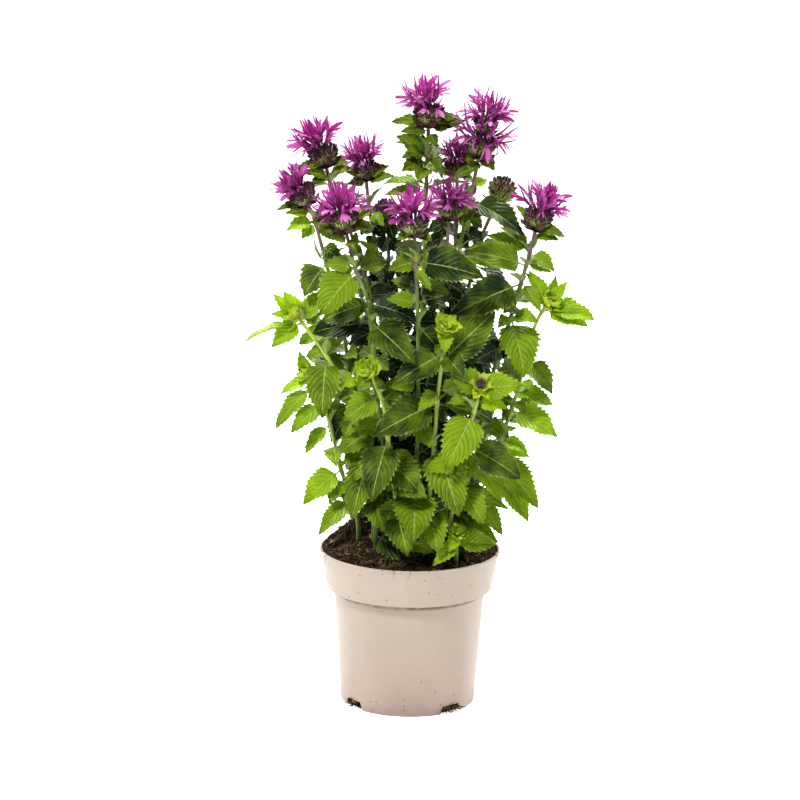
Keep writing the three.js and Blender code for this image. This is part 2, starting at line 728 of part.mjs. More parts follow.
// Triangles of one face. Its points are the stalk's left and right, the base's left and right, then
// the edge points left and right in turn, and last the midrib points and the tip.
function faceTriangles({ edge, ribs }) {
  const firstRib = 4 + 2 * edge.length;
  const lastRib = firstRib + ribs.length;
  const triangles = [[1, 3, 2], [1, 2, 0], [3, firstRib, 2]];
  for (const side of [0, 1]) {
    const pointAt = (index) => 2 + 2 * index + side;
    const shareAt = (index) => (index === 0 ? 0 : edge[index - 1][0]);
    let index = 0;
    let rib = firstRib;
    while (index < edge.length || rib < lastRib) {
      const passed = rib < lastRib && shareAt(index) >= ribs[rib - firstRib];
      const next = passed || index === edge.length ? rib + 1 : pointAt(index + 1);
      triangles.push(side === 1 ? [pointAt(index), next, rib] : [pointAt(index), rib, next]);
      if (next === rib + 1) rib += 1;
      else index += 1;
    }
  }
  return triangles;
}

const OUTLINES = [1, 2, 3].map((teeth) => {
  const outline = leafOutline(teeth);
  return { ...outline, triangles: faceTriangles(outline) };
});

function outlineFor(length) {
  return OUTLINES[TOOTH_STEPS.filter((step) => length > step).length];
}

function plate(top, bottom, face) {
  const count = top.length;
  const edges = new Set(face.flatMap(([a, b, c]) => [`${a} ${b}`, `${b} ${c}`, `${c} ${a}`]));
  const triangles = [...face, ...face.map(([a, b, c]) => [count + a, count + c, count + b])];
  for (const [a, b, c] of face) {
    for (const [from, to] of [[a, b], [b, c], [c, a]]) {
      if (edges.has(`${to} ${from}`)) continue;
      triangles.push([to, from, count + from], [to, count + from, count + to]);
    }
  }
  return solidOf(geometryFrom([...top, ...bottom], triangles));
}

// A leaf is its start, its tip, its width and what its face looks towards, with its bend and its
// stalk's share where they aren't the usual ones. With swell, the plate is that much larger on every
// side; with clear, it begins that far from its start.
function buildLeaf(leaf, swell = 0, clear = 0) {
  const { start, tip, width, facing, bend = LEAF.bend, stalk = LEAF.stalkShare } = leaf;
  const chord = tip.clone().sub(start);
  const straight = chord.length();
  const ahead = chord.divideScalar(straight);
  const normal = facing.clone().addScaledVector(ahead, -facing.dot(ahead)).normalize();
  const side = ahead.clone().cross(normal);
  const turn = radians(bend);
  const arc = (straight * turn) / (2 * Math.sin(turn / 2));
  const fold = radians(LEAF.fold);
  const top = [];
  const bottom = [];
  const add = (share, offset) => {
    const angle = turn / 2 - turn * share;
    const face = normal.clone().multiplyScalar(Math.cos(angle)).addScaledVector(ahead, -Math.sin(angle));
    const point = start.clone().addScaledVector(ahead, ((Math.sin(turn / 2) - Math.sin(angle)) / turn) * arc);
    point.addScaledVector(normal, ((Math.cos(angle) - Math.cos(turn / 2)) / turn) * arc);
    point.addScaledVector(side, offset * Math.cos(fold));
    point.addScaledVector(face, Math.abs(offset) * Math.sin(fold));
    top.push(point.clone().addScaledVector(face, swell));
    bottom.push(point.addScaledVector(face, -LEAF.thickness - swell));
  };
  const stalkHalf = LEAF.stalkHalf + swell;
  const along = (share) => stalk + (1 - stalk) * share;
  const outline = outlineFor(straight * (1 - stalk));
  const stations = [[clear / arc, stalkHalf], [stalk, stalkHalf]];
  for (const [share, half] of outline.edge) stations.push([along(share), (half * width) / 2 + swell]);
  for (const [share, half] of stations) {
    add(share, -half);
    add(share, half);
  }
  for (const share of outline.ribs) add(along(share), 0);
  add(1 + swell / arc, 0);
  return plate(top, bottom, outline.triangles);
}

// Heads: a ridged ball of packed calyx tubes over a star of bracts, and a core that the florets
// stand out of side by side.

function headFrame(curve, head) {
  const axis = stemDirection(curve, curve.top.z);
  return { base: curve.top.clone().addScaledVector(axis, GAP), axis, size: head.size };
}

function ballOf(head) {
  if (head.young) return HEAD.youngBall;
  return head.closed ? HEAD.closedBall : HEAD.ball;
}

// The core has a ring of corners at its foot and one at its top, half a step round from it. A floret
// stands on each triangle between them, and on each one up to the middle of the top where there are
// three rows. Each row has its own rise over the level of the ruff.
function buildFlorets({ base, axis, size }, rises) {
  const count = HEAD.florets;
  const points = [base.clone()];
  const rowAt = (step, height) => {
    const around = sideOf(axis).applyAxisAngle(axis, (2 * Math.PI * step) / count);
    const point = base.clone().addScaledVector(around, HEAD.coreRadius * size);
    return point.addScaledVector(axis, height * size);
  };
  for (let step = 0; step < count; step += 1) points.push(rowAt(step, 0));
  for (let step = 0; step < count; step += 1) points.push(rowAt(step + 0.5, HEAD.coreHeight));
  const topHeight = rises.length > 2 ? HEAD.domeHeight : HEAD.coreHeight;
  points.push(base.clone().addScaledVector(axis, topHeight * size));
  const middle = 2 * count + 1;
  const triangles = [];
  for (let step = 0; step < count; step += 1) {
    const next = (step + 1) % count;
    const [low, lowNext, high, highNext] = [1 + step, 1 + next, 1 + count + step, 1 + count + next];
    const rows = [[low, lowNext, high], [lowNext, highNext, high], [high, highNext, middle]];
    triangles.push([0, lowNext, low]);
    rows.forEach((root, row) => {
      if (row < rises.length) addFloret(points, triangles, root, rises[row], { base, axis, size });
      else triangles.push(root);
    });
  }
  return solidOf(geometryFrom(points, triangles));
}

// A floret: a three-sided tube on a root triangle, which opens into a long upper lip and a drooping
// lower one.
function addFloret(points, triangles, root, rise, { base, axis, size }) {
  const centre = new THREE.Vector3();
  for (const index of root) centre.addScaledVector(points[index], 1 / 3);
  const around = centre.clone().sub(base);
  around.addScaledVector(axis, -around.dot(axis)).normalize();
  const up = radians(rise);
  const ahead = around.clone().multiplyScalar(Math.cos(up)).addScaledVector(axis, Math.sin(up));
  const lift = axis.clone().multiplyScalar(Math.cos(up)).addScaledVector(around, -Math.sin(up));
  const side = lift.clone().cross(ahead);
  const reach = size * (HEAD.reachOut + (HEAD.reachUp - HEAD.reachOut) * Math.sin(up));
  const at = (along, raised) => centre.clone().addScaledVector(ahead, along * reach - HEAD.coreRadius * size)
    .addScaledVector(lift, raised * reach);
  const mouth = root.map((index) => {
    const away = points[index].clone().sub(centre);
    const spread = new THREE.Vector2(away.dot(side), away.dot(lift)).setLength(FLORET.mouthHalf * size);
    return at(FLORET.mouth, 0).addScaledVector(side, spread.x).addScaledVector(lift, spread.y);
  });
  const first = points.length;
  points.push(...mouth, at(FLORET.throat, 0), at(...FLORET.upperLip), at(...FLORET.lowerLip));
  const [a, b, c] = root;
  const [d, e, f, throat, upper, lower] = [0, 1, 2, 3, 4, 5].map((offset) => first + offset);
  triangles.push([a, b, e], [a, e, d], [b, c, f], [b, f, e], [c, a, d], [c, d, f]);
  addLips(points, triangles, [d, e, f], { throat, upper, lower, lift });
}

// Each lip stands on the side of the mouth that lies furthest its way, and reaches back to the throat.
function addLips(points, triangles, mouth, { throat, upper, lower, lift }) {
  const sides = mouth.map((from, index) => [from, mouth[(index + 1) % 3]]);
  const heightOf = ([from, to]) => points[from].clone().add(points[to]).dot(lift);
  sides.sort((a, b) => heightOf(b) - heightOf(a));
  const [[topFrom, topTo], middle, [footFrom, footTo]] = sides;
  triangles.push([topFrom, topTo, upper], [topTo, throat, upper], [throat, topFrom, upper]);
  triangles.push([footFrom, footTo, lower], [footTo, throat, lower], [throat, footFrom, lower]);
  triangles.push([...middle, throat]);
}

// Buds: a small rosette of short leaves at the top of a shoot.

function budAxis(curve, { lean }) {
  return stemDirection(curve, curve.top.z).add(new THREE.Vector3(lean[0], -lean[1], 0)).normalize();
}

function buildBud(curve, bud) {
  const base = curve.top.clone();
  return ringed(BUD.rings, BUD.corners, { base, axis: budAxis(curve, bud), size: bud.size });
}

function budTipLeaves(curve, { tips, width = BUD.tipWidth }) {
  const start = stemAt(curve, curve.top.z - BUD.seat);
  const bend = BUD.tipBend;
  return tips.map(fromPicture).map((tip) => ({ start, tip, width, facing: facingShown(tip), bend }));
}

// Pairs: leaves that the picture shows look towards its eye and up, and the others outwards and up.

function outwardAt(tip) {
  return new THREE.Vector3(tip.x, tip.y, 0).normalize();
}

function facingShown(tip) {
  const [from, to] = FACING.frontBetween;
  const front = THREE.MathUtils.clamp((tip.y - from) / (to - from), 0, 1);
  const facing = new THREE.Vector3(0, -FACING.front * front, 1 - FACING.lessUp * front);
  return facing.addScaledVector(outwardAt(tip), FACING.outward - FACING.lessOutward * front);
}

function facingHidden(tip) {
  return UP.clone().addScaledVector(outwardAt(tip), FACING.outward);
}

function opposite({ start, tip, width }) {
  const chord = tip.clone().sub(start);
  chord.setLength(Math.min(chord.length(), LEAF.longestTwin));
  const twin = start.clone().add(new THREE.Vector3(-chord.x, -chord.y, chord.z));
  return { start, tip: twin, width, facing: facingHidden(twin) };
}

function shownLeaves(curve, { row, leaves }) {
  const start = stemAt(curve, heightAtRow(curve, row));
  return leaves.map(({ tip, width, level }) => {
    const point = fromPicture(tip);
    return { start, tip: point, width, facing: level ? UP : facingShown(point) };
  });
}

function outerBracts({ base, axis, size }, outer) {
  const start = base.clone().addScaledVector(axis, HEAD.ball[2][1] * size);
  return outer.map(({ tip, width }) => {
    return { start, tip: fromPicture(tip), width, facing: UP, ...OUTER_BRACT };
  });
}

// Placing: a leaf takes the first of an ordered list of small turns at which it clears every piece
// that already stands, and is left off where none does.

const TRIES = [];
for (const shrink of [1, 0.9, 0.8]) {
  for (const swing of [0, 8, -8, 16, -16, 24, -24]) {
    for (const tilt of [0, 8, -8, 16, -16]) TRIES.push({ shrink, swing, tilt });
  }
}
// A tenth off the size counts for as much as a turn of ten degrees.
const TURN_FOR_SIZE = 100;
const departure = ({ shrink, swing, tilt }) => {
  return Math.abs(swing) + Math.abs(tilt) + TURN_FOR_SIZE * (1 - shrink);
};
TRIES.sort((a, b) => departure(a) - departure(b));

const standing = [];

function stand(solid, owner) {
  standing.push({ solid, owner, box: solid.boundingBox() });
}

function isClear(solid, ignored) {
  const box = solid.boundingBox();
  return standing.every(({ solid: other, owner, box: bounds }) => {
    if (owner === ignored) return true;
    const apart = [0, 1, 2].some((k) => box.min[k] > bounds.max[k] || box.max[k] < bounds.min[k]);
    return apart || solid.intersect(other).isEmpty();
  });
}

function turned(leaf, { shrink, swing, tilt }) {
  const chord = leaf.tip.clone().sub(leaf.start);
  const flat = new THREE.Vector2(chord.x, chord.y);
  const around = flat.angle() + radians(swing);
  const up = Math.atan2(chord.z, flat.length()) + radians(tilt);
  const ahead = new THREE.Vector3(Math.cos(around), Math.sin(around), 0).multiplyScalar(Math.cos(up));
  const tip = ahead.setZ(Math.sin(up)).multiplyScalar(chord.length() * shrink).add(leaf.start);
  return { ...leaf, tip, width: leaf.width * shrink };
}

function placeLeaf(leaf, solids, clear, ignored) {
  for (const attempt of TRIES) {
    const candidate = turned(leaf, attempt);
    const swollen = buildLeaf(candidate, GAP, clear);
    const free = isClear(swollen, ignored);
    swollen.delete();
    if (!free) continue;
    stand(buildLeaf(candidate, 0, clear), 'leaf');
    solids.push(buildLeaf(candidate));
    return;
  }
}

// The whole plant, stem by stem, and its pot.

const FINISHES = {
  pot: [0xd2c0b1, 0.45],
  soil: [0x40301f, 0.95],
  leaf: [0x4f7a1e, 0.6],
  shoot: [0x86a81f, 0.6],
  calyx: [0x5c3b3a, 0.8],
  closedCalyx: [0x5a5030, 0.8],
  floret: [0xa92a98, 0.6],
};

// Bracts take their places first, then the leaves of buds, then the other leaves that show, the
// front ones before the back ones, and last their opposites, the back ones first.
const ORDER = { bract: 0, bud: 1, shown: 2, twin: 3 };

const group = new THREE.Group();
const pot = buildPot();
const soil = buildSoil();
stand(pot, 'pot');
stand(soil, 'soil');
group.add(paint('pot', pot, FINISHES.pot));
group.add(paint('soil', soil, FINISHES.soil));

const plants = STEMS.map((stem) => {
  const curve = stemCurve(stem);
  const rod = buildStem(curve, stem.pairs);
  stand(rod, stem.name);
  return { stem, curve, solids: [rod] };
});

const calyxes = [];
for (const { stem, curve } of plants) {
  if (!stem.head) continue;
  const number = stem.name.replace('stem_', '').replace('shoot_', 'young_');
  const tiers = stem.head.tiers ?? 1;
  let frame = headFrame(curve, stem.head);
  for (let tier = 1; tier <= tiers; tier += 1) {
    const suffix = tier === 1 ? number : `${number}_upper`;
    const name = `calyx_${suffix}`;
    const solids = [ringed(ballOf(stem.head), HEAD.corners, frame)];
    stand(fused(solids), name);
    calyxes.push({ name, solids, frame, outer: tier === 1 ? stem.head.outer : [], closed: stem.head.closed });
    if (stem.head.closed) continue;
    const seat = HEAD.ball.at(-1)[1] * frame.size + GAP;
    frame = { ...frame, base: frame.base.clone().addScaledVector(frame.axis, seat) };
    const florets = buildFlorets(frame, tier < tiers ? HEAD.tierRises : HEAD.rises);
    stand(florets, `florets_${suffix}`);
    group.add(paint(`florets_${suffix}`, florets, FINISHES.floret));
    const next = HEAD.coreHeight * frame.size + GAP;
    const size = frame.size * HEAD.upperTier;
    frame = { ...frame, base: frame.base.clone().addScaledVector(frame.axis, next), size };
  }
}

for (const { stem, curve, solids } of plants) {
  if (!stem.bud || stem.bud.open) continue;
  const bud = buildBud(curve, stem.bud);
  stand(bud, `${stem.name} bud`);
  solids.push(bud);
}

const waiting = [];
for (const { frame, solids, outer, name } of calyxes) {
  for (const leaf of outerBracts(frame, outer)) {
    const clear = HEAD.ball[2][0] * frame.size;
    waiting.push({ leaf, solids, clear, ignored: name, order: ORDER.bract, depth: 0 });
  }
}
for (const { stem, curve, solids } of plants) {
  const clear = LEAF.clearOfStem;
  const ignored = `${stem.name} bud`;
  const own = stem.bud ? budTipLeaves(curve, stem.bud) : [];
  for (const leaf of own) waiting.push({ leaf, solids, clear, ignored, order: ORDER.bud, depth: 0 });
  for (const pair of stem.pairs) {
    const shown = shownLeaves(curve, pair);
    for (const leaf of shown) {
      waiting.push({ leaf, solids, clear, ignored, order: ORDER.shown, depth: leaf.tip.y });
    }
    if (shown.length > 1) continue;
    const leaf = opposite(shown[0]);
    if (Math.hypot(leaf.tip.x, leaf.tip.y) < LEAF.twinsBeyond) continue;
    waiting.push({ leaf, solids, clear, ignored, order: ORDER.twin, depth: -leaf.tip.y });
  }
}
waiting.sort((a, b) => a.order - b.order || a.depth - b.depth);
for (const { leaf, solids, clear, ignored } of waiting) placeLeaf(leaf, solids, clear, ignored);

for (const { name, solids, closed } of calyxes) {
  group.add(paint(name, fused(solids), closed ? FINISHES.closedCalyx : FINISHES.calyx));
}
for (const { stem, solids } of plants) {
  const finish = stem.name.startsWith('shoot') ? FINISHES.shoot : FINISHES.leaf;
  group.add(paint(stem.name, fused(solids), finish));
}

export default group;
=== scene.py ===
# Potted bee balm, dressed: fine leaves, heads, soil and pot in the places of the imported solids, with
# their finishes, a pale floor, soft light and the photo's camera.
# Shapes are worked out in millimetres, +Z up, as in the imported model, and go into Blender in metres.

import bpy
import numpy as np
from mathutils import Matrix


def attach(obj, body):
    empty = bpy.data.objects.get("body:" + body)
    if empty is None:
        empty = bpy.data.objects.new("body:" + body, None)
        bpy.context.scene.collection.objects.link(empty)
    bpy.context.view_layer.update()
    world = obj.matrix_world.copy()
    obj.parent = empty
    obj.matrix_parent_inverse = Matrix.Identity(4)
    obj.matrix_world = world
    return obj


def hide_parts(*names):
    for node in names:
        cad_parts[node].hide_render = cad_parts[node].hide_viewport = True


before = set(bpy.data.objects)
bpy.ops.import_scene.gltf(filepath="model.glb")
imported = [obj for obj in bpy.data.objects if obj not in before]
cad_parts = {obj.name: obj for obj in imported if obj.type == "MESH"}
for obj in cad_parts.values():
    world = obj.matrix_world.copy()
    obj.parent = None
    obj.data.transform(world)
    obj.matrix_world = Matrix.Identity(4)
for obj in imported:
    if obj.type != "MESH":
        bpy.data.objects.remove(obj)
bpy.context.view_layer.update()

# Driving dimensions, in mm and degrees, unless a comment says otherwise.

MM = 0.001
UP = np.array([0.0, 0.0, 1.0])
SHARP_EDGE = 55
SEED = 11
draws = np.random.default_rng(SEED)

POT = dict(
    height=164, rim_radius=95, lip_height=2.4, lip_depth=0.9, band_height=41, band_foot_radius=87.4,
    body_top_radius=79.5, foot_radius=71, wall=1.8, floor=2.4, rounding=0.9, inmost=0.5, sides=180,
    notch_foot=-2.0, notch_width=29, notch_top_width=21, notch_height=9, notch_depth=5.4,
    notch_angles=[-50, 38, 130, 218],
)

SOIL = dict(
    foot=2.7, edge_height=158, heap=11, side_heap=23, side_heap_at=(-52, 28), side_heap_spread=26,
    roughness=1.6, lump_waves=[(0.31, 1), (0.27, 2), (0.13, 0.19)], rings=62, sides=180, lump=1.5, gap=0.3,
    edge_gap=0.6,
)

# Ridges that break up the soil: radians per mm at least and by chance, and how their sum is brought down.
RIDGES = dict(count=26, pitch=0.28, more_pitch=0.5, phase=3, damping=1.5, divisor=3.2, lowered=1.2)
CRUMBS = dict(
    count=820, sizes=(0.7, 2.6), flatness=0.6, corners=5, rings=4, from_rim=6, buried=0.5, steepness=0.4,
    stretch=(1, 2.2), raised=0.25, uneven=(0.65, 1.2),
)
FIBRES = dict(
    count=950, lengths=(5, 22), radii=(0.16, 0.4), corners=3, rings=6, from_rim=8, steepness=0.35,
    bendiness=0.22, raised=0.25, flattened=0.6, inside_rim=4, straw=(0.2, 0.9), ends=0.4, taper=2.4,
)
ROOTS = dict(
    each=46, lengths=(6, 17), radii=(0.18, 0.42), buried=2.5, lowest=0.5, crumbs=14, spread=(0.9, 0.9, 0.4),
    fall=0.3, bendiness=0.3, above_floor=3, below_notch_top=2,
)
RIM_FIBRES = dict(
    turns=(-92, -100, -165, -158, -20, -12, 35, 140), drop=(3, 13), radius=0.3, sway=0.02,
    from_rim=(-9, -4, -1, 0.4, 0.4, 0.4), over_rim=(-4.5, -1, 0.4, 0.1, -1, -2),
)

STEM = dict(
    foot=141, straight_to=181, foot_half=2.1, top_half=1.6, turn=20, ring_step=6, corners=12,
    squareness=5, knuckle=0.35, knuckle_length=3.5, knuckle_rings=2.5, browns_from=75, browns_to=20,
    lime_between=(0.1, 0.7), slope_step=0.5, halvings=40,
)

# Half widths, thickness and relief of a leaf in mm. Its stations, columns, teeth and veins, and where
# these begin and end, are shares of the blade's length or half width.
LEAF = dict(
    stalk_half=0.9, least_half=0.25, stalk_share=0.14, bend=38, fold=19, fold_rounding=0.6,
    roundness=0.58, fullness=0.85, longest_twin=62, usual_width=38, blade_from=0.06,
    sheet=0.34, sunk=0.35, closing=8, rib=1.1, rib_half=0.7, rib_taper=0.85, groove=0.3,
    quilt=0.22, quilt_from_rib=0.15, quilt_end=0.1, vein_pairs=(4, 3.6), vein_lean=0.42, vein_curve=1.25,
    wave=2.6, waves=2.3, wave_lag=0.31, wave_taper=0.5,
    teeth=(4, 15), tooth_pitch=4.8, tooth_depth=0.2, tooth_middle=0.4, tooth_lean=0.19,
    tooth_rise=0.82, tooth_fall=0.18, teeth_from=0.08, teeth_end=0.04,
)
# Painted shade: leaves near the bush's axis and below the heads are made darker, as shade and as the darker
# tone of old inner leaves.
SHADED = dict(reaches=(30, 84), heights=(450, 540), darker=0.65)
WIDE_COLUMNS = np.array([0, 0.06, 0.3, 0.62, 0.92, 1])
SMALL_COLUMNS = np.array([0, 0.12, 0.55, 1])
SMALL_LEAF = 24
STALK_STATIONS = [-1, -0.66, -0.33]
TOOTH_STATIONS = np.array([0, 0.8])
OUTER_BRACT = dict(bend=25, stalk=0.2, tone=0.3)
OUTER_BRACT_FACING = np.array([0.0, -0.9, 0.0])
FACING = dict(
    outward=0.8, front_between=(40, -20), front=0.9, less_up=0.35, less_outward=0.5,
    flatter_between=(430, 560), flatter=0.5,
)

# How a packed leaf may differ from its rule: the gap at its tip, its shrinks, and how far it may swing
# and tilt and in what steps.
PACKED = dict(gap=0.05, shrinks=[1, 0.9, 0.8], turns=[(24, 8), (16, 8)])

# Tones of leaves whose tone isn't known: 0 is dark and 1 lime.
# Low tones inside and lighter ones outwards partly paint the shade in the bush and the light on its
# outside.
TONE_RULE = dict(
    stem=0.15, shoot=0.25, up_shoot=0.25, up_between=(180, 420), outwards=0.3, outwards_between=(60, 120),
    back=0.45, back_between=(30, 100), chance=0.4,
)

HEAD = dict(
    ball_seat=4, ball_reach=11, ball_top=18, closed_ball_top=27, young_ball_top=15, core_height=6,
    upper_tier=0.8, gap=0.3, brown=0.08, ruff_tone=0.4, young_ruff_tone=0.7,
)
BALL = dict(rings=11, closes_at=0.97, foot_drop=1.5, roundness=0.6, over_stem=0.4, corners=16)
BUD = dict(tip_width=16, tip_bend=20, tip_tone=0.8, seat=2.5, rosette_tone=0.7)
WHORL = dict(
    swing=0.12, tilt=8, out=1.2, lengths=(0.88, 1.1), tone_jitter=0.15, stalk=0.08, crumple=1.8,
)

# Leaves that fill the bush between the pairs that the picture shows, and the bush's rough outline.
FILLING = dict(
    spacing=27, jitter=8, lowest=190, below_top=34, clear=10, tries=14, lengths=(36, 58), shorter=0.45,
    widths=(0.52, 0.62), rises=(-40, 14), rise_more=20, most_room=14, cost_beyond=0.5, most_beyond=12,
    midline=(0.35, 0.55, 0.75, 0.95), stem_step=9.0,
)
ENVELOPE = dict(
    middle=(16, 16), heights=(190, 560), shares=(0, 0.25, 0.75, 1), reaches=(86, 108, 106, 80),
)
# Axil leaves are dark partly as painted shade inside the bush.
AXIL = dict(
    above_joint=1, lengths=(13, 30), rises=(0.35, 1.1), widths=(0.4, 0.55), outward=0.6, bend=30,
    tone=0.15, young_tone=0.3, tones=(-0.1, 0.2),
)
BARE_SOIL = dict(left_of=-36, below=205)

# The picture that the plant's points are read from: its eye in front of the pot's axis and above its
# foot, and its focal length and middle in pixels of the 800-pixel picture.
PICTURE = dict(
    size=800, distance=2787, height=929, pitch=12.28, roll=-0.96, focal=2741, middle=(412.2, 400),
)
SENSOR_WIDTH = 36

